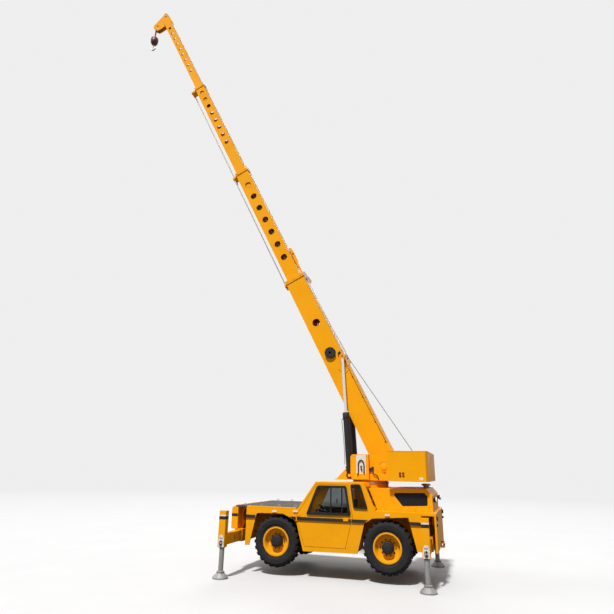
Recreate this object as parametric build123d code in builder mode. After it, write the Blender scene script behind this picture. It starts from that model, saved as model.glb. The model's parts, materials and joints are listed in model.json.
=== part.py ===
from build123d import *
import math
import os

# A four-wheel industrial carry-deck crane standing on its four outriggers, with its
# four-section boom run out. Millimetres; X forward, Y left, Z up from the ground under the
# outrigger feet. Lengths along the vehicle are counted from the rear axle.

# --- driving dimensions ------------------------------------------------------------------
REAR_X = -4010.15  # rear axle in the part's frame, which puts the origin mid-length
WHEELBASE = 2585.0
WHEEL_Z = 717.0  # wheel centres, lifted clear of the ground
TYRE_R = 550.0
KINGPIN_Y = 860.0
BODY_HALF = 1220.0
DECK_Z = 1430.0
ROOF_Z = 2045.0
SLEW_X = 550.0
TURRET_Z = 2075.0
PIVOT_X, PIVOT_Z = 132.0, 2393.0  # boom foot pin
LUFF = 63.9  # boom angle as it stands
AXIS_N = 49.0  # boom centre line above the foot pin
# half width, half height, rear end, head end and wall of each boom section along the boom
SECTION = {
    "base": (210.0, 282.0, -230.0, 5871.0, 9.0),
    "second": (178.0, 213.0, 4660.0, 10370.0, 8.0),
    "third": (149.0, 173.0, 9270.0, 14870.0, 7.0),
    "tip": (121.0, 139.0, 13870.0, 19160.0, 6.0),
}
LIFT_Y = 335.0  # lift cylinder centre planes
LIFT_R = 80.0
LIFT_ROD_R = 38.0
FOOT = (1000.0, 2190.0)  # lift cylinder foot pin
EYE_T, EYE_N = 2985.0, 296.0  # lift cylinder rod pin, in boom coordinates
FRONT_LEG, REAR_LEG = (3600.0, 1880.0), (-862.0, 1590.0)
LEG_X, LEG_Y = 160.0, 150.0  # outrigger leg box
LEG_BOTTOM, LEG_TOP = 630.0, 1380.0
BEAM_Z = {"front": (675.0, 905.0), "rear": (700.0, 950.0)}
SLEEVE_END = 1040.0

os.makedirs("parts", exist_ok=True)


# --- planes and small building steps -----------------------------------------------------
def plan(z=0.0):
    """Level plane at height z, with x counted from the rear axle."""
    return Plane(origin=(REAR_X, 0, z))


def side(y=0.0):
    """Upright plane along the vehicle at y: sketch x runs forward, sketch y runs up."""
    return Plane(origin=(REAR_X, y, 0), x_dir=(1, 0, 0), z_dir=(0, -1, 0))


def across(x=0.0):
    """Upright plane across the vehicle at x: sketch x runs left, sketch y runs up."""
    return Plane(origin=(REAR_X + x, 0, 0), x_dir=(0, 1, 0), z_dir=(1, 0, 0))


def boom_side(y=0.0):
    """Plane along the boom at y: sketch x runs up the boom from its foot pin."""
    turn = math.radians(LUFF)
    return Plane(
        origin=(REAR_X + PIVOT_X, y, PIVOT_Z),
        x_dir=(math.cos(turn), 0, math.sin(turn)),
        z_dir=(0, -1, 0),
    )


def slab(plane_at, outline, y_low, y_high, mode=Mode.ADD, corner=0.0):
    """Adds a closed outline on an upright plane, from one distance across to another."""
    with BuildSketch(plane_at(y_high)) as face:
        with BuildLine():
            Polyline(*outline, close=True)
        make_face()
        if corner:
            fillet(face.vertices(), corner)
    extrude(face.sketch, amount=y_high - y_low, mode=mode)


def both_slabs(plane_at, outline, y_low, y_high, mode=Mode.ADD, corner=0.0):
    """The same slab on the left and mirrored on the right."""
    slab(plane_at, outline, y_low, y_high, mode, corner)
    slab(plane_at, outline, -y_high, -y_low, mode, corner)


def block(x, y, z, mode=Mode.ADD):
    """Adds a box between pairs of limits."""
    with BuildSketch(plan(z[0])) as face:
        with Locations(((x[0] + x[1]) / 2, (y[0] + y[1]) / 2)):
            Rectangle(x[1] - x[0], y[1] - y[0])
    extrude(face.sketch, amount=z[1] - z[0], mode=mode)


def bar(plane, centre, radius, length, mode=Mode.ADD):
    """Adds a round bar from a plane along its normal."""
    with BuildSketch(plane) as face:
        with Locations(centre):
            Circle(radius)
    extrude(face.sketch, amount=length, mode=mode)


def keep(piece, name):
    """Labels a finished piece and writes it."""
    piece.part.label = name
    export_step(piece.part, f"parts/{name}.step")


# --- frame -------------------------------------------------------------------------------
RAIL_Y = (300.0, 420.0)
RAIL_Z = (850.0, 1180.0)
with BuildPart() as chassis_frame:
    for low, high in (RAIL_Y, (-RAIL_Y[1], -RAIL_Y[0])):
        block((-1030, 3500), (low, high), RAIL_Z)
        block((-1030, 3500), (low + 12, high - 12), (RAIL_Z[0] + 12, RAIL_Z[1] - 12), Mode.SUBTRACT)
    for x, top in ((-930, 1150), (-600, 1000), (-200, 1000), (1200, 1150), (2100, 1150), (3330, 1150)):
        block((x, x + 100), (-300, 300), (900, top))
    for end, leg in (("front", FRONT_LEG), ("rear", REAR_LEG)):
        low, high = BEAM_Z[end]
        half = LEG_X / 2 + 8
        block((leg[0] - half - 12, leg[0] + half + 12), (-SLEEVE_END, SLEEVE_END), (low - 20, high + 20))
        block((leg[0] - half, leg[0] + half), (-SLEEVE_END, SLEEVE_END), (low - 8, high + 8), Mode.SUBTRACT)
    block((0, 1100), (-420, 420), (1150, 1180))
    for start, stop, top in ((-735, 400, 1440), (1965, 3330, 1400)):
        for sign in (1, -1):
            block((start, stop), sorted((sign * 420, sign * 432)), (1000, top))
keep(chassis_frame, "chassis_frame")

# --- body sides --------------------------------------------------------------------------
SIDE_Y = (1190.0, BODY_HALF)
FRONT_ARCH = [(3240, 610), (3080, 1300), (3040, 1315), (2420, 1324), (2180, 1226), (2080, 1155), (1908, 557)]
REAR_ARCH = [(655, 572), (492, 1193), (310, 1303), (-479, 1355), (-640, 687)]
LOWER = [(3340, 610)] + FRONT_ARCH + REAR_ARCH + [(-755, 687), (-755, 1400), (-1030, 1400), (-1030, 1450)]
CAB_EDGE = [(250, 1450), (486, 2030), (500, ROOF_Z), (1626, ROOF_Z), (2034, 1468), (2110, DECK_Z)]
DOOR = [(930, 662), (1872, 662), (2055, 1160), (2045, 1345), (1600, 1985), (870, 1985), (759, 1315)]
DOOR_WINDOW = [(1831, 1336), (1574, 1960), (894, 1965), (796, 1345)]
REAR_WINDOW = [(788, 2000), (567, 2005), (407, 1494), (725, 1504)]
DOOR_GAP = 8.0
WINDOW_CORNER = 45.0
HINGE, HINGE_R = (2075.0, 1235.0), 13.0  # door hinge, seen from above
with BuildPart() as side_panel_left:
    slab(side, LOWER + CAB_EDGE + [(3340, DECK_Z)], *SIDE_Y)
    with BuildSketch(side(BODY_HALF)) as door_hole:
        with BuildLine():
            Polyline(*DOOR, close=True)
        make_face()
        offset(amount=DOOR_GAP, kind=Kind.INTERSECTION)
    extrude(door_hole.sketch, amount=SIDE_Y[1] - SIDE_Y[0], mode=Mode.SUBTRACT)
    slab(side, REAR_WINDOW, *SIDE_Y, Mode.SUBTRACT, WINDOW_CORNER)
    bar(plan(1236), HINGE, HINGE_R, 38)
    block((2072, 2110), (1219, 1234), (1236, 1274))
keep(side_panel_left, "side_panel_left")

with BuildPart() as side_panel_right:
    slab(side, LOWER + [(250, 1450), (270, DECK_Z), (3340, DECK_Z)], -SIDE_Y[1], -SIDE_Y[0])
keep(side_panel_right, "side_panel_right")

# --- decks, nose and rear ----------------------------------------------------------------
with BuildPart() as front_deck:
    block((2065, 3635), (-1190, 1190), (1430, 1465))
    block((1000, 2065), (-1190, 490), (1430, 1465))
    for x in (2300, 2700, 3100):
        block((x, x + 60), (-1150, 1150), (1400, 1430))
keep(front_deck, "front_deck")

POCKET_WALL = (780.0, 800.0)  # inner walls of the bays that the outrigger legs draw into
NOSE_SPACE = [(3650, 945), (3775, 945), (3775, 1365), (3740, 1410), (3650, 1410)]
with BuildPart() as nose:
    slab(side, [(3635, 925), (3780, 925), (3800, 950), (3800, 1370), (3750, 1430), (3635, 1430)], -1050, 1050)
    slab(side, NOSE_SPACE, -1030, 1030, Mode.SUBTRACT)
    block((3600, 3660), (-700, 700), (945, 1410), Mode.SUBTRACT)
    both_slabs(side, [(3330, 925), (3640, 925), (3640, 1430), (3330, 1430)], *POCKET_WALL)
    both_slabs(side, [(3330, 925), (3342, 925), (3342, 1430), (3330, 1430)], POCKET_WALL[1], 1190)
keep(nose, "nose")

with BuildPart() as rear_deck:
    block((-1030, 240), (-1190, 1190), (1440, 1468))
    block((100, 1000), (-490, 490), (1440, 1468))
    block((240, 1000), (-1190, -490), (DECK_Z, 1468))
    block((-850, 20), (-440, 440), (1440, 1468), Mode.SUBTRACT)
    bar(plan(1440), (SLEW_X, 0), 452, 28, Mode.SUBTRACT)
keep(rear_deck, "rear_deck")

BAY_OPENING = [(-1000, 1000), (-870, 1000), (-870, 1200), (-1000, 1200)]
with BuildPart() as rear_plate:
    block((-1070, -1030), (-BODY_HALF, BODY_HALF), (680, 1450))
    both_slabs(side, [(-1030, 970), (-743, 970), (-743, 1440), (-1030, 1440)], *POCKET_WALL)
    both_slabs(side, [(-755, 970), (-743, 970), (-743, 1440), (-755, 1440)], POCKET_WALL[1], 1190)
    both_slabs(side, BAY_OPENING, POCKET_WALL[0] - 5, POCKET_WALL[1] + 5, Mode.SUBTRACT)
    for z in (660, 740):
        block((-1160, -1070), (-50, 50), (z, z + 20))
    block((-1085, -1070), (-70, 70), (640, 780))
    bar(plan(650), (-1125, 0), 16, 120, Mode.SUBTRACT)
keep(rear_plate, "rear_plate")

# --- engine housing ----------------------------------------------------------------------
HOOD = [(-1000, 1468), (225, 1468), (415, 1925), (-700, 1940), (-880, 1940), (-1000, 1800)]
HOOD_IN = [(-985, 1460), (205, 1460), (395, 1910), (-872, 1924), (-985, 1793)]
GRILLE = [(-120, 1840), (-830, 1860), (-900, 1785), (-890, 1590), (-343, 1566)]
GRILLE_CORNER, GRILLE_BORDER, GRILLE_PITCH, GRILLE_BAR = 40.0, 22.0, 40, 14
with BuildPart() as engine_hood:
    slab(side, HOOD, -1000, 1000)
    slab(side, HOOD_IN, -985, 985, Mode.SUBTRACT)
    block((60, 500), (-500, 500), (1400, 2000), Mode.SUBTRACT)
    block((45, 60), (-500, 500), (1470, 1915))
    for low, high in ((485, 500), (-500, -485)):
        block((45, 205), (low, high), (1470, 1915))
    both_slabs(side, GRILLE, 980, 1001, Mode.SUBTRACT, GRILLE_CORNER)
keep(engine_hood, "engine_hood")

# upright bars inside a border that follows the grille's outline
with BuildPart() as hood_grille:
    for y in (995, -987):
        with BuildSketch(side(y)) as grille_plate:
            with BuildLine():
                Polyline(*GRILLE, close=True)
            make_face()
            fillet(grille_plate.vertices(), GRILLE_CORNER)
        with BuildSketch(side(y)) as grille_slots:
            add(grille_plate.sketch_local)
            offset(amount=-GRILLE_BORDER, mode=Mode.REPLACE)
            with Locations([(x, 1720) for x in range(-880, -120, GRILLE_PITCH)]):
                Rectangle(GRILLE_BAR, 400, mode=Mode.SUBTRACT)
        extrude(grille_plate.sketch, amount=8)
        extrude(grille_slots.sketch, amount=8, mode=Mode.SUBTRACT)
keep(hood_grille, "hood_grille")

with BuildPart() as intake_cap:
    bar(plan(1940), (-800, 0), 60, 50)
    bar(plan(1990), (-800, 0), 110, 50)
keep(intake_cap, "intake_cap")

with BuildPart() as engine_block:
    block((-780, 0), (-290, 290), (1000, 1760))
keep(engine_block, "engine_block")

# --- lamps -------------------------------------------------------------------------------
WORK_LAMP = (820.0, 1710.0)
with BuildPart() as lamps:
    for sign in (1, -1):
        with BuildSketch(across(-1000)) as lamp_back:
            with Locations((sign * WORK_LAMP[0], WORK_LAMP[1])):
                Circle(34)
        with BuildSketch(across(-1060)) as lamp_front:
            with Locations((sign * WORK_LAMP[0], WORK_LAMP[1])):
                Circle(62)
        loft([lamp_back.sketch.face(), lamp_front.sketch.face()])
        extrude(lamp_front.sketch, amount=-22)
        for low, high in ((1310, 1400), (1195, 1245)):
            block((-1102, -1070), sorted((sign * 1095, sign * 1175)), (low, high))
keep(lamps, "lamps")

# --- slewing base ------------------------------------------------------------------------
with BuildPart() as slew_pedestal:
    bar(plan(1180), (SLEW_X, 0), 440, 830)
    bar(plan(1180), (SLEW_X, 0), 400, 830, Mode.SUBTRACT)
    bar(plan(2010), (SLEW_X, 0), 440, TURRET_Z - 1 - 2010)
    bar(plan(2010), (SLEW_X, 0), 340, TURRET_Z - 1 - 2010, Mode.SUBTRACT)
keep(slew_pedestal, "slew_pedestal")

# --- cab ---------------------------------------------------------------------------------
CAB_IN, CAB_OUT = 500.0, 1190.0
CAB = [
    (660, 600), (1900, 600), (1900, 780), (1960, 980), (2060, 1160), (2060, 1432), (2030, 1468),
    (1622, ROOF_Z), (500, ROOF_Z), (486, 2030), (252, 1480), (252, 1370), (400, 1340), (600, 1160),
    (660, 800),
]
CAB_HOLLOW = [
    (700, 640), (1860, 640), (1860, 790), (1922, 995), (2020, 1172), (2020, 1420), (1990, 1458),
    (1600, 2005), (528, 2005), (300, 1470), (300, 1408), (424, 1376), (640, 1178), (700, 806),
]
CAB_SIDE_WINDOW = [(850, 1330), (1760, 1330), (1480, 1900), (850, 1900)]


def slant(foot, head, along, out):
    """Outline points beside a sloping wall: spans along it, spans out from its outer face."""
    length = math.hypot(head[0] - foot[0], head[1] - foot[1])
    run, rise = (head[0] - foot[0]) / length, (head[1] - foot[1]) / length
    facing = 1 if rise * (foot[0] - 1100) > 0 else -1
    return [
        (foot[0] + run * s + rise * facing * n, foot[1] + rise * s - run * facing * n)
        for s, n in ((along[0], out[0]), (along[1], out[0]), (along[1], out[1]), (along[0], out[1]))
    ]


FRONT_WALL = ((2030, 1468), (1622, ROOF_Z), (60, 640))
REAR_WALL = ((252, 1480), (486, 2030), (80, 520))
with BuildPart() as cab_shell:
    slab(side, CAB, CAB_IN, CAB_OUT)
    slab(side, CAB_HOLLOW, CAB_IN + 35, CAB_OUT, Mode.SUBTRACT)
    for foot, head, span in (FRONT_WALL, REAR_WALL):
        slab(side, slant(foot, head, span, (-70, 30)), 600, 1120, Mode.SUBTRACT)
    slab(side, CAB_SIDE_WINDOW, CAB_IN - 10, CAB_IN + 45, Mode.SUBTRACT)
keep(cab_shell, "cab_shell")

with BuildPart() as cab_glass:
    for foot, head, span in (FRONT_WALL, REAR_WALL):
        slab(side, slant(foot, head, span, (-24, -18)), 600, 1120)
    slab(side, CAB_SIDE_WINDOW, CAB_IN + 12, CAB_IN + 18)
    slab(side, REAR_WINDOW, 1202, 1208, corner=WINDOW_CORNER)
keep(cab_glass, "cab_glass")

with BuildPart() as driver_seat:
    block((780, 1240), (620, 1080), (980, 1090))
    slab(side, [(760, 980), (900, 1000), (820, 1700), (700, 1690)], 640, 1060)
    block((840, 1180), (700, 1000), (640, 980))
keep(driver_seat, "driver_seat")

CONSOLE = [(1700, 640), (1858, 640), (1858, 800), (1900, 1000), (1980, 1180), (1960, 1300), (1700, 1240)]
STEERING_HUB = (1500, 1385)
with BuildPart() as steering_console:
    slab(side, CONSOLE, 560, 1150)
    slab(side, [(1720, 1150), (1720, 1225), (1512, 1402), (1488, 1374)], 830, 870)
    wheel_plane = Plane(
        origin=(REAR_X + STEERING_HUB[0], 850, STEERING_HUB[1]), x_dir=(0, 1, 0), z_dir=(-0.64, 0, 0.77)
    )
    with BuildSketch(wheel_plane) as wheel_ring:
        Circle(200)
        Circle(176, mode=Mode.SUBTRACT)
        Rectangle(380, 34)
        Circle(45)
    extrude(wheel_ring.sketch, amount=24)
keep(steering_console, "steering_console")

# --- cab door ----------------------------------------------------------------------------
with BuildPart() as cab_door:
    slab(side, DOOR, *SIDE_Y)
    slab(side, DOOR_WINDOW, *SIDE_Y, Mode.SUBTRACT, WINDOW_CORNER)
    for low, high in ((1184, 1233), (1277, 1326)):
        bar(plan(low), HINGE, HINGE_R, high - low)
        block((1990, 2020), (1219, 1234), (low, high))
        block((1990, 2075), (1224, 1234), (low, high))
keep(cab_door, "cab_door")

with BuildPart() as door_glass:
    slab(side, DOOR_WINDOW, 1202, 1208, corner=WINDOW_CORNER)
keep(door_glass, "door_glass")

# --- right-hand tank ---------------------------------------------------------------------
TANK = [
    (670, 600), (1890, 600), (1890, 780), (1950, 980), (2050, 1160), (2050, DECK_Z), (420, DECK_Z),
    (420, 1395), (600, 1160), (665, 800),
]
TANK_WALL = 8.0
with BuildPart() as side_tank:
    slab(side, TANK, -1190, -500)
    with BuildSketch(side(-500 - TANK_WALL)) as tank_space:
        with BuildLine():
            Polyline(*TANK, close=True)
        make_face()
        offset(amount=-TANK_WALL, kind=Kind.INTERSECTION)
    extrude(tank_space.sketch, amount=690 - 2 * TANK_WALL, mode=Mode.SUBTRACT)
    bar(side(-495), (1300, 700), 40, 20, Mode.SUBTRACT)
keep(side_tank, "side_tank")

# --- axles, knuckles and wheels ----------------------------------------------------------
TYRE_SIDES = 48  # two to a tread lug
TREAD_BASE_R = 526.0
BEAD_R, BEAD_SIDES = 293.5, 24
CORNERS = {"fl": (WHEELBASE, 1), "fr": (WHEELBASE, -1), "rl": (0.0, 1), "rr": (0.0, -1)}
for name, x in (("axle_front", WHEELBASE), ("axle_rear", 0.0)):
    with BuildPart() as axle:
        bar(side(700), (x, WHEEL_Z), 75, 1400)
        with BuildSketch(side(190)) as bowl:
            with Locations((x, WHEEL_Z)):
                Circle(120)
        extrude(bowl.sketch, amount=380)
        with BuildSketch(side(90)) as bowl_middle:
            with Locations((x, WHEEL_Z)):
                Circle(175)
        extrude(bowl_middle.sketch, amount=180)
        for sign in (1, -1):
            block((x - 50, x + 50), sorted((sign * 690, sign * 740)), (WHEEL_Z - 165, WHEEL_Z + 165))
            for z in (WHEEL_Z - 165, WHEEL_Z + 135):
                block((x - 50, x + 50), sorted((sign * 740, sign * 905)), (z, z + 30))
            bar(plan(WHEEL_Z - 170), (x, sign * KINGPIN_Y), 24.5, 340, Mode.SUBTRACT)
        for y in (-360, 360):
            block((x - 60, x + 60), (y - 55, y + 55), (WHEEL_Z + 60, RAIL_Z[0]))
    keep(axle, name)


def drum(x, sign, y, radii, sides=TYRE_SIDES, mode=Mode.ADD):
    """Adds a many-sided drum on a wheel's axis, straight or tapering between two distances out."""
    ends = []
    for distance, radius in zip(y, radii):
        with BuildSketch(side(sign * distance)) as end:
            with Locations((x, WHEEL_Z)):
                RegularPolygon(radius, sides)
        ends.append(end.sketch.face())
    loft(ends, ruled=True, mode=mode)


def lug_outline(x, first):
    """Outline of one row of tread lugs, standing on every second side of the tyre's drum."""
    corners = []
    for index in range(TYRE_SIDES):
        radius = TYRE_R if index % 2 == first else TREAD_BASE_R
        for angle in (2 * math.pi * index / TYRE_SIDES, 2 * math.pi * (index + 1) / TYRE_SIDES):
            corners.append((x + radius * math.cos(angle), WHEEL_Z + radius * math.sin(angle)))
    return corners


for corner, (x, sign) in CORNERS.items():
    with BuildPart() as knuckle:
        block((x - 60, x + 60), sorted((sign * 790, sign * 920)), (WHEEL_Z - 128, WHEEL_Z + 128))
        bar(plan(WHEEL_Z - 165), (x, sign * KINGPIN_Y), 24, 330)
        bar(side(1115 if sign > 0 else -910), (x, WHEEL_Z), 40, 205)
    keep(knuckle, f"knuckle_{corner}")

    with BuildPart() as tyre:
        for near, far, r_near, r_far in (
            (820, 862, 455, TREAD_BASE_R), (862, 1158, TREAD_BASE_R, TREAD_BASE_R),
            (1158, 1200, TREAD_BASE_R, 455),
        ):
            drum(x, sign, (near, far), (r_near, r_far))
        for near, far, first in ((862, 1004, 0), (1016, 1158, 1)):
            with BuildSketch(side(sign * near)) as lug_ring:
                with BuildLine():
                    Polyline(*lug_outline(x, first), close=True)
                make_face()
            extrude(lug_ring.sketch, amount=-sign * (far - near))
        drum(x, sign, (862, 1158), (BEAD_R, BEAD_R), BEAD_SIDES, Mode.SUBTRACT)
        drum(x, sign, (820, 862), (395, 320), BEAD_SIDES, Mode.SUBTRACT)
        drum(x, sign, (1158, 1200), (320, 395), BEAD_SIDES, Mode.SUBTRACT)
    keep(tyre, f"tyre_{corner}")

    with BuildPart() as rim:
        with BuildSketch(across(x)) as rim_section:
            with BuildLine():
                Polyline(
                    (sign * 845, WHEEL_Z + 272), (sign * 845, WHEEL_Z + 314), (sign * 857, WHEEL_Z + 314),
                    (sign * 860, WHEEL_Z + 290), (sign * 1160, WHEEL_Z + 290), (sign * 1163, WHEEL_Z + 314),
                    (sign * 1178, WHEEL_Z + 314), (sign * 1178, WHEEL_Z + 280), (sign * 1060, WHEEL_Z + 240),
                    (sign * 1040, WHEEL_Z + 130), (sign * 1150, WHEEL_Z + 118), (sign * 1165, WHEEL_Z + 100),
                    (sign * 1165, WHEEL_Z), (sign * 1120, WHEEL_Z), (sign * 1120, WHEEL_Z + 41),
                    (sign * 1000, WHEEL_Z + 41), (sign * 1000, WHEEL_Z + 150), (sign * 1030, WHEEL_Z + 272),
                    close=True,
                )
            make_face()
        revolve(rim_section.sketch, axis=Axis((REAR_X + x, 0, WHEEL_Z), (0, 1, 0)))
    keep(rim, f"rim_{corner}")

# --- outriggers --------------------------------------------------------------------------
LEGS = {
    "fl": ("front", FRONT_LEG, 1), "fr": ("front", FRONT_LEG, -1),
    "rl": ("rear", REAR_LEG, 1), "rr": ("rear", REAR_LEG, -1),
}
BEAM_LENGTH = 1035.0
for corner, (end, (x, y), sign) in LEGS.items():
    low, high = BEAM_Z[end]
    with BuildPart() as leg:
        across_leg = sorted((sign * (y - LEG_Y / 2), sign * (y + LEG_Y / 2)))
        block((x - LEG_X / 2, x + LEG_X / 2), across_leg, (LEG_BOTTOM, LEG_TOP))
        bar(plan(LEG_BOTTOM), (x, sign * y), 62, LEG_TOP - LEG_BOTTOM - 15, Mode.SUBTRACT)
        inner = y - LEG_Y / 2 - BEAM_LENGTH
        block((x - LEG_X / 2, x + LEG_X / 2), sorted((sign * inner, sign * (y - LEG_Y / 2))), (low, high))
        block(
            (x - LEG_X / 2 + 12, x + LEG_X / 2 - 12), sorted((sign * inner, sign * (y - LEG_Y / 2 - 20))),
            (low + 12, high - 12), Mode.SUBTRACT,
        )
    keep(leg, f"outrigger_{corner}")

    with BuildPart() as jack:
        bar(plan(90), (x, sign * y), 55, 820)
        with BuildSketch(plan(0)) as pad_low:
            with Locations((x, sign * y)):
                Circle(172)
        with BuildSketch(plan(30)) as pad_rim:
            with Locations((x, sign * y)):
                Circle(172)
        with BuildSketch(plan(120)) as pad_high:
            with Locations((x, sign * y)):
                Circle(75)
        extrude(pad_low.sketch, amount=30)
        loft([pad_rim.sketch.face(), pad_high.sketch.face()])
    keep(jack, f"jack_{corner}")

# --- turret ------------------------------------------------------------------------------
CHEEK = [(-600, 2105), (490, 2105), (490, 2687), (-600, 2687)]
FOOT_CHEEK = [(700, 2105), (1370, 2105), (1120, 2360), (940, 2360), (860, 2260), (700, 2240)]
with BuildPart() as turret_frame:
    bar(plan(TURRET_Z), (SLEW_X, 0), 430, 30)
    block((-700, 700), (-455, 455), (2090, 2110))
    slab(side, [(500, 2090), (1374, 2090), (1370, 2110), (500, 2110)], -455, 455)
    both_slabs(side, CHEEK, 430, 455)
    both_slabs(side, FOOT_CHEEK, 235, 250)
    for sign in (1, -1):
        bar(side(sign * 430 if sign > 0 else -235), FOOT, 35, 195)
    bar(side(475), (PIVOT_X, PIVOT_Z), 70, 950)
keep(turret_frame, "turret_frame")

WEIGHT = [(-50, 455), (-50, 1200), (-910, 1200), (-960, 1100)]
WEIGHT_SPACE = [(-65, 470), (-65, 1185), (-901, 1185), (-945, 1096)]
with BuildPart() as counterweight:
    for outline, inner_end, low, high, mode in (
        (WEIGHT, -700, 2092, 2748, Mode.ADD), (WEIGHT_SPACE, -715, 2360, 2733, Mode.SUBTRACT),
    ):
        with BuildSketch(plan(low)) as weight_plan:
            with BuildLine():
                Polyline(
                    *outline, *((x, -y) for x, y in reversed(outline)),
                    (inner_end, -outline[0][1]), (inner_end, outline[0][1]), close=True,
                )
            make_face()
        extrude(weight_plan.sketch, amount=high - low, mode=mode)
    block((-450, -150), (-480, 480), (2450, 2650), Mode.SUBTRACT)
keep(counterweight, "counterweight")

with BuildPart() as control_box:
    both_slabs(
        side, [(490, 2110), (900, 2110), (935, 2200), (935, 2640), (890, 2687), (490, 2687)], 430, 560,
    )
keep(control_box, "control_box")

WINCH = (-520.0, 2590.0)
with BuildPart() as hoist_winch:
    bar(side(300), WINCH, 110, 600)
    for y in (300, -270):
        bar(side(y), WINCH, 150, 30)
    for y in (430, -300):
        bar(side(y), WINCH, 90, 130)
    block((-680, -360), (-320, 320), (2110, 2270))
    for y in (300, -280):
        slab(side, [(-650, 2260), (-390, 2260), (-450, 2600), (-590, 2600)], y - 20, y)
keep(hoist_winch, "hoist_winch")

# --- lift cylinders ----------------------------------------------------------------------
TURN = math.radians(LUFF)
EYE = (
    PIVOT_X + EYE_T * math.cos(TURN) - EYE_N * math.sin(TURN),
    PIVOT_Z + EYE_T * math.sin(TURN) + EYE_N * math.cos(TURN),
)
LIFT_LENGTH = math.hypot(EYE[0] - FOOT[0], EYE[1] - FOOT[1])
LIFT_DIR = ((EYE[0] - FOOT[0]) / LIFT_LENGTH, 0, (EYE[1] - FOOT[1]) / LIFT_LENGTH)
BARREL_END = 1533.0


def lift(distance, y):
    """Plane square to the lift cylinder, a distance up from its foot pin."""
    return Plane(
        origin=(REAR_X + FOOT[0] + LIFT_DIR[0] * distance, y, FOOT[1] + LIFT_DIR[2] * distance),
        x_dir=(0, 1, 0),
        z_dir=LIFT_DIR,
    )


with BuildPart() as lift_barrels:
    for y in (LIFT_Y, -LIFT_Y):
        bar(lift(60, y), (0, 0), LIFT_R, BARREL_END - 60)
        bar(side(y + 70), FOOT, 80, 140)
        bar(side(y + 70), FOOT, 36, 140, Mode.SUBTRACT)
        bar(lift(110, y), (0, 0), LIFT_ROD_R + 1, BARREL_END, Mode.SUBTRACT)
keep(lift_barrels, "lift_barrels")

with BuildPart() as lift_rods:
    for y in (LIFT_Y, -LIFT_Y):
        bar(lift(LIFT_LENGTH - 1750, y), (0, 0), LIFT_ROD_R, 1720)
        bar(side(y + 36), EYE, 75, 72)
        bar(side(y + 36), EYE, 36, 72, Mode.SUBTRACT)
keep(lift_rods, "lift_rods")


# --- boom --------------------------------------------------------------------------------
def boom_box(half_w, half_h, start, stop, mode=Mode.ADD):
    """A stretch of box section about the boom's centre line."""
    low, high = AXIS_N - half_h, AXIS_N + half_h
    slab(boom_side, [(start, low), (stop, low), (stop, high), (start, high)], -half_w, half_w, mode)


def collar(key, inner_key):
    """The stiffening collar at a section's head, open for the next section with its pads."""
    half_w, half_h, _, stop, _ = SECTION[key]
    boom_box(half_w + 20, half_h + 20, stop - 110, stop)
    boom_box(SECTION[inner_key][0] + 6, SECTION[inner_key][1] + 6, stop - 120, stop + 10, Mode.SUBTRACT)


def guide_block(stop, drop):
    """The block under a head that carries both guide rods, down to a depth below the axis."""
    near, far, low, high = stop - 105, stop - 45, ROD_N - 40, AXIS_N - drop
    slab(boom_side, [(near, low), (far, low), (far, high), (near, high)], -115, 115)


def along_boom(distance, y=0.0, n=AXIS_N):
    """Plane square to the boom, a distance up from the foot pin, centred at y and n."""
    turn = math.radians(LUFF)
    return Plane(
        origin=(
            REAR_X + PIVOT_X + distance * math.cos(turn) - n * math.sin(turn),
            y,
            PIVOT_Z + distance * math.sin(turn) + n * math.cos(turn),
        ),
        x_dir=(0, 1, 0),
        z_dir=(math.cos(turn), 0, math.sin(turn)),
    )


def side_holes(first, pitch, count, radius, half_w, n):
    """A row of round holes through both side plates."""
    for index in range(count):
        bar(boom_side(half_w + 5), (first + index * pitch, n), radius, 2 * half_w + 10, Mode.SUBTRACT)


ROD_N, ROD_Y, ROD_R = -284.0, 80.0, 17.0  # guide rods under the boom
half_w, half_h, start, stop, wall = SECTION["base"]
low, high = AXIS_N - half_h, AXIS_N + half_h
BASE_OUTLINE = [(-50, low), (stop, low), (stop, high), (-200, high), (-250, 100), (-200, -100)]
BASE_HOLLOW = [
    (-44, low + wall), (stop + 5, low + wall), (stop + 5, high - wall), (-192, high - wall),
    (-240, 100), (-192, -94),
]
EYE_PLATE = [(2560, 120), (2760, 40), (3080, 170), (3140, 329), (2740, 329), (2600, 250)]
with BuildPart() as boom_base:
    slab(boom_side, BASE_OUTLINE, -half_w, half_w)
    slab(boom_side, BASE_HOLLOW, wall - half_w, half_w - wall, Mode.SUBTRACT)
    bar(boom_side(425), (0, 0), 110, 850)
    bar(boom_side(430), (0, 0), 71, 860, Mode.SUBTRACT)
    for y in (half_w + 70, -half_w):
        bar(boom_side(y), (EYE_T, EYE_N), 35, 70)
    both_slabs(boom_side, EYE_PLATE, half_w, half_w + 12)
    collar("base", "second")
    guide_block(stop, half_h)
    for y in (ROD_Y, -ROD_Y):
        bar(along_boom(stop - 110, y, ROD_N), (0, 0), ROD_R + 8, 80, Mode.SUBTRACT)
    side_holes(4262, 1, 1, 110, half_w, 58)
keep(boom_base, "boom_base")

with BuildPart() as hose_reel:
    bar(boom_side(half_w + 70), (3270, 35), 150, 70)
keep(hose_reel, "hose_reel")

half_w, half_h, start, stop, wall = SECTION["second"]
with BuildPart() as boom_section_2:
    boom_box(half_w, half_h, start, stop)
    boom_box(half_w - wall, half_h - wall, start, stop, Mode.SUBTRACT)
    collar("second", "third")
    guide_block(stop, half_h)
    bar(along_boom(stop - 110, ROD_Y, ROD_N), (0, 0), ROD_R, 80, Mode.SUBTRACT)
    bar(along_boom(stop - 110, -ROD_Y, ROD_N), (0, 0), ROD_R + 8, 80, Mode.SUBTRACT)
    side_holes(6658, 508, 7, 98, half_w, 60)
keep(boom_section_2, "boom_section_2")

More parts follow.
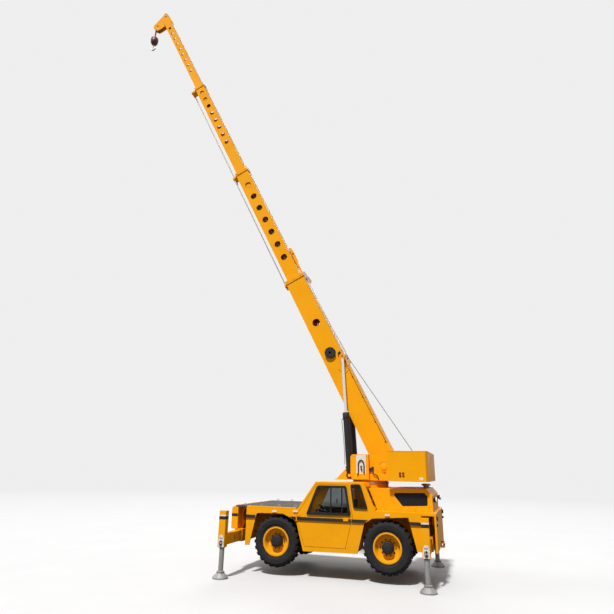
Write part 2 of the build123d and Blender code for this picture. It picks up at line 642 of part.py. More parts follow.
half_w, half_h, start, stop, wall = SECTION["third"]
with BuildPart() as boom_section_3:
    boom_box(half_w, half_h, start, stop)
    boom_box(half_w - wall, half_h - wall, start, stop, Mode.SUBTRACT)
    collar("third", "tip")
    guide_block(stop, half_h)
    bar(along_boom(stop - 110, -ROD_Y, ROD_N), (0, 0), ROD_R, 80, Mode.SUBTRACT)
    side_holes(11817, 383, 8, 75, half_w, 52)
keep(boom_section_3, "boom_section_3")

with BuildPart() as guide_rod_2:
    bar(along_boom(5650, ROD_Y, ROD_N), (0, 0), ROD_R, SECTION["second"][3] - 45 - 5650)
keep(guide_rod_2, "guide_rod_2")

with BuildPart() as guide_rod_3:
    bar(along_boom(10150, -ROD_Y, ROD_N), (0, 0), ROD_R, SECTION["third"][3] - 45 - 10150)
keep(guide_rod_3, "guide_rod_3")

half_w, half_h, start, stop, wall = SECTION["tip"]
TIP_HEAD = [
    (18940, -90), (18930, -330), (18950, -460), (19130, -560), (19290, -560), (19360, -480),
    (19520, 0), (19610, 110), (19580, 190), (19330, 230), (18960, 240), (18940, 188),
]
with BuildPart() as boom_tip:
    boom_box(half_w, half_h, start, stop)
    boom_box(half_w - wall, half_h - wall, start, stop - 20, Mode.SUBTRACT)
    both_slabs(boom_side, TIP_HEAD, 62, 80)
    side_holes(15842, 343, 9, 54, half_w, 40)
keep(boom_tip, "boom_tip")

TOP_SHEAVE, NOSE_SHEAVE, SHEAVE_R = (19400.0, 100.0), (19180.0, -370.0), 120.0
with BuildPart() as tip_sheaves:
    for centre in (TOP_SHEAVE, NOSE_SHEAVE):
        bar(boom_side(30), centre, SHEAVE_R, 60)
        bar(boom_side(62), centre, 25, 124)
keep(tip_sheaves, "tip_sheaves")

# --- extending cylinder inside the boom --------------------------------------------------
with BuildPart() as telescope_rod:
    bar(along_boom(112), (0, 0), 35, 5090)
keep(telescope_rod, "telescope_rod")

with BuildPart() as telescope_barrel:
    bar(along_boom(4700), (0, 0), 60, 5550)
    boom_box(169, 204, 4700, 4725)
    bar(along_boom(4695), (0, 0), 38, 5455, Mode.SUBTRACT)
keep(telescope_barrel, "telescope_barrel")

# --- hook block --------------------------------------------------------------------------
LINE_X = (
    PIVOT_X + NOSE_SHEAVE[0] * math.cos(TURN) - NOSE_SHEAVE[1] * math.sin(TURN) + SHEAVE_R + 8
)
LINE_Z = PIVOT_Z + NOSE_SHEAVE[0] * math.sin(TURN) + NOSE_SHEAVE[1] * math.cos(TURN)
BLOCK_TOP, BLOCK_BOTTOM = LINE_Z - 480, LINE_Z - 900
with BuildPart() as hook_block:
    bar(plan(BLOCK_TOP), (LINE_X, 0), 30, 60)
    with BuildSketch(side(90)) as block_side:
        with BuildLine():
            Polyline(
                (LINE_X - 60, BLOCK_TOP), (LINE_X + 60, BLOCK_TOP), (LINE_X + 150, BLOCK_TOP - 110),
                (LINE_X + 150, BLOCK_TOP - 220), (LINE_X + 60, BLOCK_BOTTOM), (LINE_X - 60, BLOCK_BOTTOM),
                (LINE_X - 150, BLOCK_TOP - 220), (LINE_X - 150, BLOCK_TOP - 110), close=True,
            )
        make_face()
    extrude(block_side.sketch, amount=180)
keep(hook_block, "hook_block")

with BuildPart() as load_hook:
    bar(plan(BLOCK_BOTTOM - 70), (LINE_X, 0), 24, 70)
    with BuildSketch(side(22)) as hook_side:
        with Locations((LINE_X, BLOCK_BOTTOM - 160)):
            Circle(105)
            Circle(58, mode=Mode.SUBTRACT)
        with Locations((LINE_X + 80, BLOCK_BOTTOM - 110)):
            Rectangle(160, 90, mode=Mode.SUBTRACT)
        with Locations((LINE_X, BLOCK_BOTTOM - 80)):
            Rectangle(48, 44)
    extrude(hook_side.sketch, amount=44)
keep(load_hook, "load_hook")
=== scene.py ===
"""A four-wheel carry-deck mobile crane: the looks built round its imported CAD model."""

import json
import math

import bmesh
import bpy
import numpy as np
from bpy.props import FloatProperty, FloatVectorProperty, IntProperty, PointerProperty
from mathutils import Matrix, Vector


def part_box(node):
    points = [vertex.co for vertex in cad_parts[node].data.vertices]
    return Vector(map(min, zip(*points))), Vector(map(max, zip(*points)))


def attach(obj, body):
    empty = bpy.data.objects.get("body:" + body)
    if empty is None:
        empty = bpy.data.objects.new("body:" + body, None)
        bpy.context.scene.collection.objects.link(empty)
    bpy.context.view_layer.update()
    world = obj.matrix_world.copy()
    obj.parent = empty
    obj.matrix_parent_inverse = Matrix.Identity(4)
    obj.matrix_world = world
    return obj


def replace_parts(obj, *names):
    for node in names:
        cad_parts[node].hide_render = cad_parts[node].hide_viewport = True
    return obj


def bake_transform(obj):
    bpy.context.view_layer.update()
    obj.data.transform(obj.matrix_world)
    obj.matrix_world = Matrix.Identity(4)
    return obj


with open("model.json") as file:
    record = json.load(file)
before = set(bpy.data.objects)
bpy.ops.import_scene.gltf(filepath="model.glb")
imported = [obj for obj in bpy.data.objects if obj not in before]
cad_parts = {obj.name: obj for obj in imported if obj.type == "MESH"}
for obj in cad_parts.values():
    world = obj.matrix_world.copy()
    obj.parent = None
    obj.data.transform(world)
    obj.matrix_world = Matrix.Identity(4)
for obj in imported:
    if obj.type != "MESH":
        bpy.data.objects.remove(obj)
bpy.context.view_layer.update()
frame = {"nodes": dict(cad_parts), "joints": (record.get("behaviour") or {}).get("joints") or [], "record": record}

bl_info = {
    "name": "Carry-deck crane",
    "version": (1, 0, 0),
    "blender": (4, 5, 0),
    "location": "3D View > Sidebar > Crane",
    "description": "Adds the visible detail and finishes of a four-wheel mobile crane",
    "category": "Object",
}

# --- places taken from the CAD model ------------------------------------------------------
JOINT = {joint["name"]: joint for joint in frame["joints"]}
CORNERS = {"fl": 1, "fr": -1, "rl": 1, "rr": -1}


def middle(node):
    """Centre of a CAD node's box."""
    low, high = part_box(node)
    return np.array((low + high) / 2)


REAR = middle("tyre_rl")[0]
PIVOT = np.array(JOINT["boom_luff"]["pos_m"])
UP = np.array(JOINT["section_2_slide"]["axis"])
BACK = np.array((-UP[2], 0.0, UP[0]))
FOOT = np.array(JOINT["lift_barrel_tilt"]["pos_m"])
LIFT = np.array(JOINT["lift_rod_slide"]["axis"])
LINE = np.array(JOINT["hook_swing"]["pos_m"])
X, Y, Z = np.eye(3)
BODY_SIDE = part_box("side_panel_left")[1].y
ROUND = 2 * np.pi
SIDES = (1, -1)


def at(x, y, z):
    """A point by its distance ahead of the rear axle, left of the centre plane and above the ground."""
    return np.array((REAR + x, y, z))


def on_boom(t, y, n):
    """A point by its distance up the boom from the foot pin, across, and above the foot pin's line."""
    return PIVOT + t * UP + y * Y + n * BACK


def places(*points):
    """Several points as at() takes them."""
    return np.array([at(*point) for point in points])


def along_boom(*points, y=0.0):
    """Several points by their distance up the boom and above the foot pin's line."""
    return np.array([on_boom(t, y, n) for t, n in points])


# --- surfaces -----------------------------------------------------------------------------
def unit(vector):
    """The vector at length one."""
    vector = np.asarray(vector, float)
    return vector / np.linalg.norm(vector)


def circle(count, first=X, second=Z):
    """Points evenly round a circle of radius one: a cosine along one direction and a sine along another."""
    turn = np.linspace(0, ROUND, count, endpoint=False)[:, None]
    return np.cos(turn) * first + np.sin(turn) * second


def flowing(points, steps=8):
    """A Catmull-Rom curve: on each run between neighbours a cubic that leaves and meets the
    points in the direction of their own neighbours."""
    p = np.asarray(points, float)
    p = np.vstack([2 * p[0] - p[1], p, 2 * p[-1] - p[-2]])
    s = np.linspace(0, 1, steps, endpoint=False)[:, None, None]
    a, b, c, d = p[:-3], p[1:-2], p[2:-1], p[3:]
    bend, twist = 2 * a - 5 * b + 4 * c - d, 3 * b - a - 3 * c + d
    runs = 0.5 * (2 * b + (c - a) * s + bend * s**2 + twist * s**3)
    return np.vstack([runs.transpose(1, 0, 2).reshape(-1, 3), p[-2]])


def rounded(outline, radius, steps=5):
    """A closed outline with each corner replaced by a quadratic curve that starts and ends a
    radius away from it."""
    p = np.asarray(outline, float)
    before, after = np.roll(p, 1, 0) - p, np.roll(p, -1, 0) - p
    start = p + radius * before / np.linalg.norm(before, axis=1)[:, None]
    end = p + radius * after / np.linalg.norm(after, axis=1)[:, None]
    s = np.linspace(0, 1, steps)[None, :, None]
    return (start[:, None] * (1 - s) ** 2 + p[:, None] * 2 * s * (1 - s) + end[:, None] * s**2).reshape(-1, 2)


def inset(outline, distance):
    """A closed outline moved inwards: each point goes along the mean of its two edges' normals."""
    p = np.asarray(outline, float)
    edge = np.roll(p, -1, 0) - p
    turn = np.sign(np.sum(p[:, 0] * np.roll(p, -1, 0)[:, 1] - p[:, 1] * np.roll(p, -1, 0)[:, 0]))
    normal = turn * np.stack([-edge[:, 1], edge[:, 0]], 1) / np.linalg.norm(edge, axis=1)[:, None]
    mitre = normal + np.roll(normal, 1, 0)
    mitre /= np.maximum(np.sum(mitre * normal, 1), 0.3)[:, None]
    return p + distance * mitre


def oblong(width, height):
    """Corners of a rectangle about its middle."""
    return np.array([(-1, -1), (1, -1), (1, 1), (-1, 1)]) * (width / 2, height / 2)


def soft_oblong(width, height, radius, across=0.0, up=0.0):
    """A rectangle's outline with rounded corners, its middle at a place."""
    return rounded(oblong(width, height), radius) + (across, up)


class Form:
    """Gathers the surfaces of one piece."""

    def __init__(self):
        self.points, self.faces, self.count = [], [], 0

    def add(self, points, faces):
        """Takes points and arrays of faces that count from the first of them."""
        points = np.asarray(points, float).reshape(-1, 3)
        self.points.append(points)
        self.faces.extend(np.asarray(array, int) + self.count for array in faces)
        self.count += len(points)
        return self

    def skin(self, grid, ring_rows=False, ring_columns=False, caps=False):
        """Joins a grid of points by quads; rings close on themselves and caps close the end rows."""
        rows, columns = grid.shape[:2]
        index = np.arange(rows * columns).reshape(rows, columns)
        ends = [index[:1, ::-1], index[-1:]] if caps else []
        if ring_rows:
            index = np.vstack([index, index[:1]])
        if ring_columns:
            index = np.hstack([index, index[:, :1]])
        quads = np.stack([index[:-1, :-1], index[:-1, 1:], index[1:, 1:], index[1:, :-1]], -1)
        return self.add(grid, [quads.reshape(-1, 4), *ends])

    def turned(self, profile, centre, axis, sides=40, ring=False):
        """A profile of (radius, distance along the axis) spun round the axis: each point's radius
        times a cosine and a sine across it."""
        profile, axis = np.asarray(profile, float), unit(axis)
        first = unit(np.cross(axis, Z if abs(axis[2]) < 0.9 else X))
        second = np.cross(axis, first)
        grid = centre + profile[:, 1, None, None] * axis + profile[:, 0, None, None] * circle(sides, first, second)
        return self.skin(grid, ring_rows=ring, ring_columns=True, caps=not ring)

    def tube(self, path, radius, sides=10):
        """A round tube: at each point of the path a circle square to the path's direction, its
        radius one number or one for each point."""
        path = np.asarray(path, float)
        along = np.gradient(path, axis=0)
        along /= np.linalg.norm(along, axis=1)[:, None]
        flat = np.linalg.svd(path - path.mean(0) + 1e-9)[2][2]
        first = flat - (along @ flat)[:, None] * along
        first /= np.linalg.norm(first, axis=1)[:, None]
        second = np.cross(along, first)
        turn = np.linspace(0, ROUND, sides, endpoint=False)[None, :, None]
        size = np.broadcast_to(np.asarray(radius, float), len(path))[:, None, None]
        grid = path[:, None] + size * (np.cos(turn) * first[:, None] + np.sin(turn) * second[:, None])
        return self.skin(grid, ring_columns=True, caps=True)

    def plate(self, outline, origin, across, along, thickness):
        """A flat outline in the plane of two directions, given a thickness along their normal."""
        outline = np.asarray(outline, float)
        flat = origin + outline[:, :1] * across + outline[:, 1:] * along
        return self.skin(np.stack([flat, flat + thickness * np.cross(across, along)]), ring_columns=True, caps=True)

    def border(self, outline, width, origin, across, along, thickness):
        """A flat frame between an outline and the same outline moved inwards."""
        outline = np.asarray(outline, float)
        edges = [outline, inset(outline, width)]
        outer, inner = (origin + edge[:, :1] * across + edge[:, 1:] * along for edge in edges)
        lift = thickness * np.cross(across, along)
        return self.skin(np.stack([outer, inner, inner + lift, outer + lift]), ring_rows=True, ring_columns=True)

    def brick(self, low, high):
        """A block between two corners."""
        low, high = np.minimum(low, high), np.maximum(low, high)
        size = high - low
        base = oblong(size[0], size[1])
        return self.plate(base, (low + high) / 2 - size[2] / 2 * Z, X, Y, size[2])

    def bar(self, start, axis, radius, length, sides=24):
        """A round bar with a small chamfer at each end."""
        edge = min(radius * 0.15, length * 0.2)
        profile = [(radius - edge, 0), (radius, edge), (radius, length - edge), (radius - edge, length)]
        return self.turned(profile, start, axis, sides)

    def nut(self, start, axis, radius, height):
        """A hexagon nut on a washer with its stud's end."""
        self.turned([(radius * 1.25, 0), (radius * 1.25, height * 0.15)], start, axis, 16)
        self.turned([(radius, 0), (radius, height * 0.8), (radius * 0.85, height)], start, axis, 6)
        return self.turned([(radius * 0.5, 0), (radius * 0.5, height * 1.4)], start, axis, 10)

    def repeated(self, other, offsets):
        """Another form at each of a set of offsets."""
        for offset in np.asarray(offsets, float):
            self.points.extend(points + offset for points in other.points)
            self.faces.extend(array + self.count for array in other.faces)
            self.count += other.count
        return self

    def mirrored(self):
        """Adds the same form across the centre plane."""
        points, faces, count = [p * (1, -1, 1) for p in self.points], list(self.faces), self.count
        self.points += points
        self.faces += [array[:, ::-1] + count for array in faces]
        self.count += count
        return self

    def piece(self, name, body, look, bevel=0.0, smooth=35):
        """Makes the gathered surfaces one object that rides on a body, in a look's finish."""
        mesh = bpy.data.meshes.new(name)
        faces = [face for array in self.faces for face in array.tolist()]
        mesh.from_pydata(np.vstack(self.points).tolist(), [], faces)
        solid = bmesh.new()
        solid.from_mesh(mesh)
        bmesh.ops.remove_doubles(solid, verts=solid.verts, dist=1e-6)
        bmesh.ops.recalc_face_normals(solid, faces=solid.faces)
        solid.to_mesh(mesh)
        solid.free()
        mesh.materials.append(finish(look[0]))
        mesh.shade_smooth()
        mesh.set_sharp_from_angle(angle=math.radians(smooth))
        piece = bpy.data.objects.new(name, mesh)
        bpy.context.scene.collection.objects.link(piece)
        if bevel:
            edge = piece.modifiers.new("edges", "BEVEL")
            edge.width, edge.segments, edge.limit_method = bevel, 2, "ANGLE"
            edge.angle_limit = math.radians(40)
            edge.harden_normals = True
        if body:
            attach(piece, body)
        return piece


# --- finishes -----------------------------------------------------------------------------
class Finish:
    """One procedural material, built from Object coordinates."""

    def __init__(self, name, roughness, metallic=0.0, coat=0.0):
        self.material = bpy.data.materials.new(name)
        self.material.use_nodes = True
        self.tree = self.material.node_tree
        self.shader = self.tree.nodes["Principled BSDF"]
        self.shader.inputs["Metallic"].default_value = metallic
        self.shader.inputs["Coat Weight"].default_value = coat
        self.shader.inputs["Coat Roughness"].default_value = 0.12
        self.shader.inputs["Roughness"].default_value = roughness
        self.roughness = roughness
        self.place = self.tree.nodes.new("ShaderNodeTexCoord").outputs["Object"]
        self.height = None

    def node(self, kind, inputs=(), **settings):
        """Adds a node, sets it, and joins or fills its inputs."""
        made = self.tree.nodes.new(kind)
        for key, value in settings.items():
            setattr(made, key, value)
        for key, value in dict(inputs).items():
            if isinstance(value, bpy.types.NodeSocket):
                self.tree.links.new(value, made.inputs[key])
            else:
                made.inputs[key].default_value = value
        return made

    def noise(self, scale, detail=3.0, rough=0.55):
        """Fractal noise in the object's own space."""
        inputs = {"Vector": self.place, "Scale": scale, "Detail": detail, "Roughness": rough}
        return self.node("ShaderNodeTexNoise", inputs).outputs["Fac"]

    def cells(self, scale):
        """Distance to the nearest of a set of scattered points."""
        return self.node("ShaderNodeTexVoronoi", {"Vector": self.place, "Scale": scale}).outputs["Distance"]

    def ramp(self, value, low, high, out_low=0.0, out_high=1.0):
        """A value's span mapped onto another and clamped."""
        return self.node("ShaderNodeMapRange", {
            "Value": value, "From Min": low, "From Max": high, "To Min": out_low, "To Max": out_high,
        }).outputs["Result"]

    def times(self, a, b):
        """The product of two values."""
        return self.node("ShaderNodeMath", {0: a, 1: b}, operation="MULTIPLY").outputs[0]

    def mix(self, factor, a, b):
        """One colour blended into another."""
        made = self.node("ShaderNodeMix", {0: factor, 6: a, 7: b}, data_type="RGBA")
        return made.outputs[2]

    def paint(self, colour):
        """Joins a colour to the shader."""
        self.tree.links.new(colour, self.shader.inputs["Base Color"])
        return self

    def gloss(self, value):
        """Joins a roughness to the shader."""
        self.tree.links.new(value, self.shader.inputs["Roughness"])
        return self

    def raise_by(self, height, distance):
        """Bump from a height, on top of any already there."""
        inputs = {"Height": height, "Distance": distance, "Strength": 1.0}
        if self.height is not None:
            inputs["Normal"] = self.height
        self.height = self.node("ShaderNodeBump", inputs).outputs["Normal"]
        self.tree.links.new(self.height, self.shader.inputs["Normal"])
        return self


def rgba(colour, shade=1.0):
    """A colour made lighter or darker, with full opacity."""
    return (*(channel * shade for channel in colour[:3]), 1.0)


MUD = (0.16, 0.12, 0.075, 1.0)
GRIME = (0.09, 0.07, 0.06, 1.0)

# Each plain finish: its colour, or the name of a colour that a user may change, its roughness and the rest.
PLAIN = {
    "body_paint": ("body", 0.4, dict(
        coat=0.03, mottle=0.06, grain=1.6, fine=260.0, bump=0.00006, dust=0.2, wear=0.08, shine=0.12)),
    "black_paint": ("trim", 0.36, dict(mottle=0.2, grain=5.0, dust=0.35, wear=0.12)),
    "white_enamel": ((0.78, 0.77, 0.74), 0.42, dict(mottle=0.12, grain=14.0, dust=0.25)),
    "grey_steel": ((0.37, 0.365, 0.355), 0.45, dict(metallic=0.25, mottle=0.18, grain=11.0, bump=0.0003, dust=0.2)),
    "bolt_steel": ((0.42, 0.4, 0.36), 0.38, dict(metallic=0.9, mottle=0.25, grain=30.0, dust=0.3)),
    "cast_iron": ((0.019, 0.019, 0.023), 0.5, dict(
        metallic=0.1, mottle=0.3, grain=16.0, fine=420.0, bump=0.0008, dust=0.25, shine=0.3)),
    "chrome_plate": ((0.78, 0.79, 0.81), 0.12, dict(metallic=1.0, mottle=0.04, grain=20.0, bump=0.00003)),
    "black_plastic": ((0.016, 0.016, 0.018), 0.5, dict(
        mottle=0.2, grain=12.0, fine=700.0, bump=0.0003, dust=0.1, shine=0.25)),
    "hose_rubber": ((0.018, 0.018, 0.02), 0.55, dict(mottle=0.25, grain=25.0, fine=500.0, bump=0.0005, dust=0.2)),
    "pale_hose": ((0.5, 0.49, 0.46), 0.5, dict(mottle=0.25, grain=30.0)),
    "pale_primer": ((0.55, 0.42, 0.36), 0.5, dict(mottle=0.2, dust=0.2)),
    "foot_grey": ((0.27, 0.265, 0.255), 0.55, dict(metallic=0.1, mottle=0.3, grain=12.0, dust=0.3, wear=0.4)),
    "hook_red": ((0.36, 0.085, 0.065), 0.5, dict(mottle=0.3, grain=7.0, wear=0.5)),
    # A darker copy of the hook's red: painted shade for the lower half of the hook's weight.
    "dark_red": ((0.10, 0.02, 0.02), 0.5, dict(mottle=0.3, grain=9.0, wear=0.5)),
    "reflector_red": ((0.24, 0.035, 0.012), 0.5, dict(shine=0.2)),
}


def plain(name, colour, roughness, metallic=0.0, coat=0.0, mottle=0.12, grain=9.0, fine=180.0, bump=0.0002,
          dust=0.0, wear=0.0, shine=0.5):
    """A finish with broad and fine colour variation, uneven gloss, a slight surface texture,
    dust that thins out with height, and rubbed specks."""
    if isinstance(colour, str):
        colour = getattr(bpy.context.scene.crane_paint, colour)
    f = Finish(name, roughness, metallic, coat)
    f.shader.inputs["Specular IOR Level"].default_value = shine
    broad, close = f.noise(grain, 4.0), f.noise(fine, 2.0)
    tone = f.mix(f.ramp(broad, 0.3, 0.7), rgba(colour, 1 - mottle), rgba(colour, 1 + mottle * 0.4))
    tone = f.mix(f.ramp(close, 0.35, 0.75, 0.0, mottle), tone, rgba(colour, 0.6))
    if wear:
        specks = f.ramp(f.noise(38.0, 6.0, 0.72), 0.66, 0.72, 0.0, wear)
        tone = f.mix(specks, tone, GRIME)
    if dust:
        up = f.node("ShaderNodeSeparateXYZ", {0: f.place}).outputs[2]
        low = f.times(f.ramp(up, 1.5, 0.1, 0.0, dust), f.ramp(f.noise(5.5, 6.0, 0.65), 0.3, 0.75))
        tone = f.mix(low, tone, MUD)
    f.paint(tone).gloss(f.ramp(broad, 0.25, 0.8, max(0.04, roughness - 0.08), min(1.0, roughness + 0.14)))
    return f.raise_by(close, bump)


def lens(name, colour):
    """A moulded lens with fine ribs across it."""
    f = Finish(name, 0.12, coat=0.6)
    waves = {"Vector": f.place, "Scale": 55.0, "Distortion": 0.0}
    ribs = f.node("ShaderNodeTexWave", waves, bands_direction="Z").outputs["Fac"]
    return f.paint(f.mix(ribs, rgba(colour, 0.72), rgba(colour))).raise_by(ribs, 0.0012)


def tyre_rubber():
    """Tyre black with faint rings, fine pitting and dried dust in the lower relief."""
    f = Finish("tyre_rubber", 0.78)
    f.shader.inputs["Specular IOR Level"].default_value = 0.2
    broad, fine = f.noise(14.0, 5.0), f.noise(240.0, 3.0)
    tone = f.mix(f.ramp(broad, 0.35, 0.7), (0.012, 0.012, 0.014, 1), (0.028, 0.026, 0.028, 1))
    tone = f.mix(f.ramp(fine, 0.5, 0.75, 0.0, 0.4), tone, (0.06, 0.054, 0.05, 1))
    return f.paint(tone).gloss(f.ramp(broad, 0.3, 0.7, 0.68, 0.92)).raise_by(fine, 0.0012).raise_by(broad, 0.002)


def deck_grit():
    """Anti-slip coating: dark grey with a coarse cell texture and trodden paler patches."""
    f = Finish("deck_grit", 0.85)
    cells = f.cells(170.0)
    trod = f.noise(3.2, 6.0, 0.62)
    tone = f.mix(f.ramp(trod, 0.35, 0.72), (0.035, 0.033, 0.033, 1), (0.12, 0.11, 0.10, 1))
    return f.paint(f.mix(f.ramp(cells, 0.1, 0.5, 0.0, 0.45), tone, (0.02, 0.02, 0.02, 1))).raise_by(cells, 0.003)


def window_glass():
    """Tinted safety glass with a trace of dust."""
    f = Finish("window_glass", 0.04)
    f.shader.inputs["Transmission Weight"].default_value = 1.0
    f.shader.inputs["IOR"].default_value = 1.2
    smear = f.noise(4.0, 5.0, 0.6)
    f.material.use_raytrace_refraction = True
    tint = f.mix(f.ramp(smear, 0.4, 0.8), (0.62, 0.66, 0.66, 1), (0.5, 0.52, 0.5, 1))
    return f.paint(tint).gloss(f.ramp(smear, 0.3, 0.8, 0.02, 0.09))


def seat_vinyl():
    """Black grained vinyl: a leather-like cell pattern over a soft sheen."""
    f = Finish("seat_vinyl", 0.48)
    f.paint(f.mix(f.ramp(f.noise(9.0), 0.3, 0.7), (0.022, 0.021, 0.021, 1), (0.05, 0.047, 0.045, 1)))
    return f.raise_by(f.cells(420.0), 0.0008)


def wire_rope():
    """Bright greased wire rope: slanted strands as bands along each rope."""
    f = Finish("wire_rope", 0.5, 0.3)
    waves = {"Vector": f.place, "Scale": 30.0, "Distortion": 0.3}
    lay = f.node("ShaderNodeTexWave", waves, bands_direction="DIAGONAL").outputs["Fac"]
    return f.paint(f.mix(lay, (0.22, 0.21, 0.2, 1), (0.52, 0.51, 0.48, 1))).raise_by(lay, 0.0015)


MAKERS = {
    **{make.__name__: make for make in (tyre_rubber, deck_grit, window_glass, seat_vinyl, wire_rope)},
    "clear_lens": lambda: lens("clear_lens", (0.8, 0.8, 0.78)),
    "red_lens": lambda: lens("red_lens", (0.5, 0.01, 0.008)),
    "amber_lens": lambda: lens("amber_lens", (0.75, 0.2, 0.01)),
}
made_finishes = {}


def finish(name):
    """The material of a finish, made when it is first asked for."""
    if name not in made_finishes:
        if name in MAKERS:
            made_finishes[name] = MAKERS[name]().material
        else:
            colour, roughness, rest = PLAIN[name]
            made_finishes[name] = plain(name, colour, roughness, **rest).material
    return made_finishes[name]


# The finish that a CAD node of each slot gets.
SLOT_FINISH = {
    "yellow_paint": "body_paint", "dark_steel": "cast_iron", "deck_tread": "deck_grit", "bare_steel": "bolt_steel",
    "chrome_rod": "chrome_plate",
    **{name: name for name in (
        "tyre_rubber", "grey_steel", "window_glass", "seat_vinyl", "black_plastic", "hook_red")},
}
# The looks of the added pieces, each a finish and a slot.
PAINT = ("body_paint", "yellow_paint")
STRIPE = ("black_paint", "black_plastic")
ENAMEL = ("white_enamel", "yellow_paint")
IRON = ("cast_iron", "dark_steel")
STEEL = ("grey_steel", "grey_steel")
BOLTS = ("bolt_steel", "bare_steel")
PLASTIC = ("black_plastic", "black_plastic")
RUBBER = ("hose_rubber", "black_plastic")
ROPE = ("wire_rope", "bare_steel")


# --- sizes and colours a user may change --------------------------------------------------
class CranePaint(bpy.types.PropertyGroup):
    """Colours of the crane."""
    body: FloatVectorProperty(
        name="Body", description="Colour of the painted steelwork", subtype="COLOR", size=3, min=0, max=1,
        default=(0.96, 0.395, 0.002))
    trim: FloatVectorProperty(
        name="Trim", description="Colour of the stripes and dark trim", subtype="COLOR", size=3, min=0, max=1,
        default=(0.012, 0.012, 0.016))


class CraneTrim(bpy.types.PropertyGroup):
    """Sizes of the added detail."""
    stripe_low: FloatProperty(
        name="Stripe bottom", description="Height of the stripe's lower edge", unit="LENGTH", default=1.203)
    stripe_high: FloatProperty(
        name="Stripe top", description="Height of the stripe's upper edge", unit="LENGTH", default=1.270)
    lugs: IntProperty(name="Lugs", description="Tread lugs on each side of a tyre", default=24, min=12, max=40)
    rope: FloatProperty(name="Rope", description="Radius of the hoist rope", unit="LENGTH", default=0.012)
    hose: FloatProperty(name="Hose", description="Radius of the hydraulic hoses", unit="LENGTH", default=0.014)


class CraneStage(bpy.types.PropertyGroup):
    """Floor and light."""
    sun: FloatProperty(name="Sun", description="Strength of the main lamp", default=3.8, min=0)
    sky: FloatProperty(name="Sky", description="Strength of the light from all round", default=0.32, min=0)
    floor: FloatProperty(name="Floor", description="Brightness of floor and background", default=0.86, min=0, max=1)


class CRANE_OT_finishes(bpy.types.Operator):
    """Gives every CAD node the finish of its material slot"""
    bl_idname = "crane.finishes"
    bl_label = "Finishes"

    def execute(self, context):
        slots = {part["node"]: part["material_slot"] for part in frame["record"]["subparts"]}
        for name, obj in frame["nodes"].items():
            obj.data.materials.clear()
            obj.data.materials.append(finish(SLOT_FINISH[slots[name]]))
            obj.data.shade_smooth()
            obj.data.set_sharp_from_angle(angle=math.radians(30))
        return {"FINISHED"}


CAMERA_PLACE = (-1.825, 12.931, 2.275)
CAMERA_TURN = (0.309, 0.322, 0.018)  # heading from straight across the crane, pitch and roll, in radians
LENS_LENGTH = 491.8 / 614  # focal length over the picture's width
# Each lamp's share of the sun's strength, the way its light goes and the angle it seems to fill, in degrees.
LAMPS = {
    "key": (1.0, (-0.06, -0.52, -0.85), 5.0), "front": (0.12, (-0.8, -0.1, -0.45), 30.0),
    "far_side": (0.22, (-0.15, 0.85, -0.5), 30.0),
}
FADE = (9.0, 45.0)  # distances between which the floor runs into the background


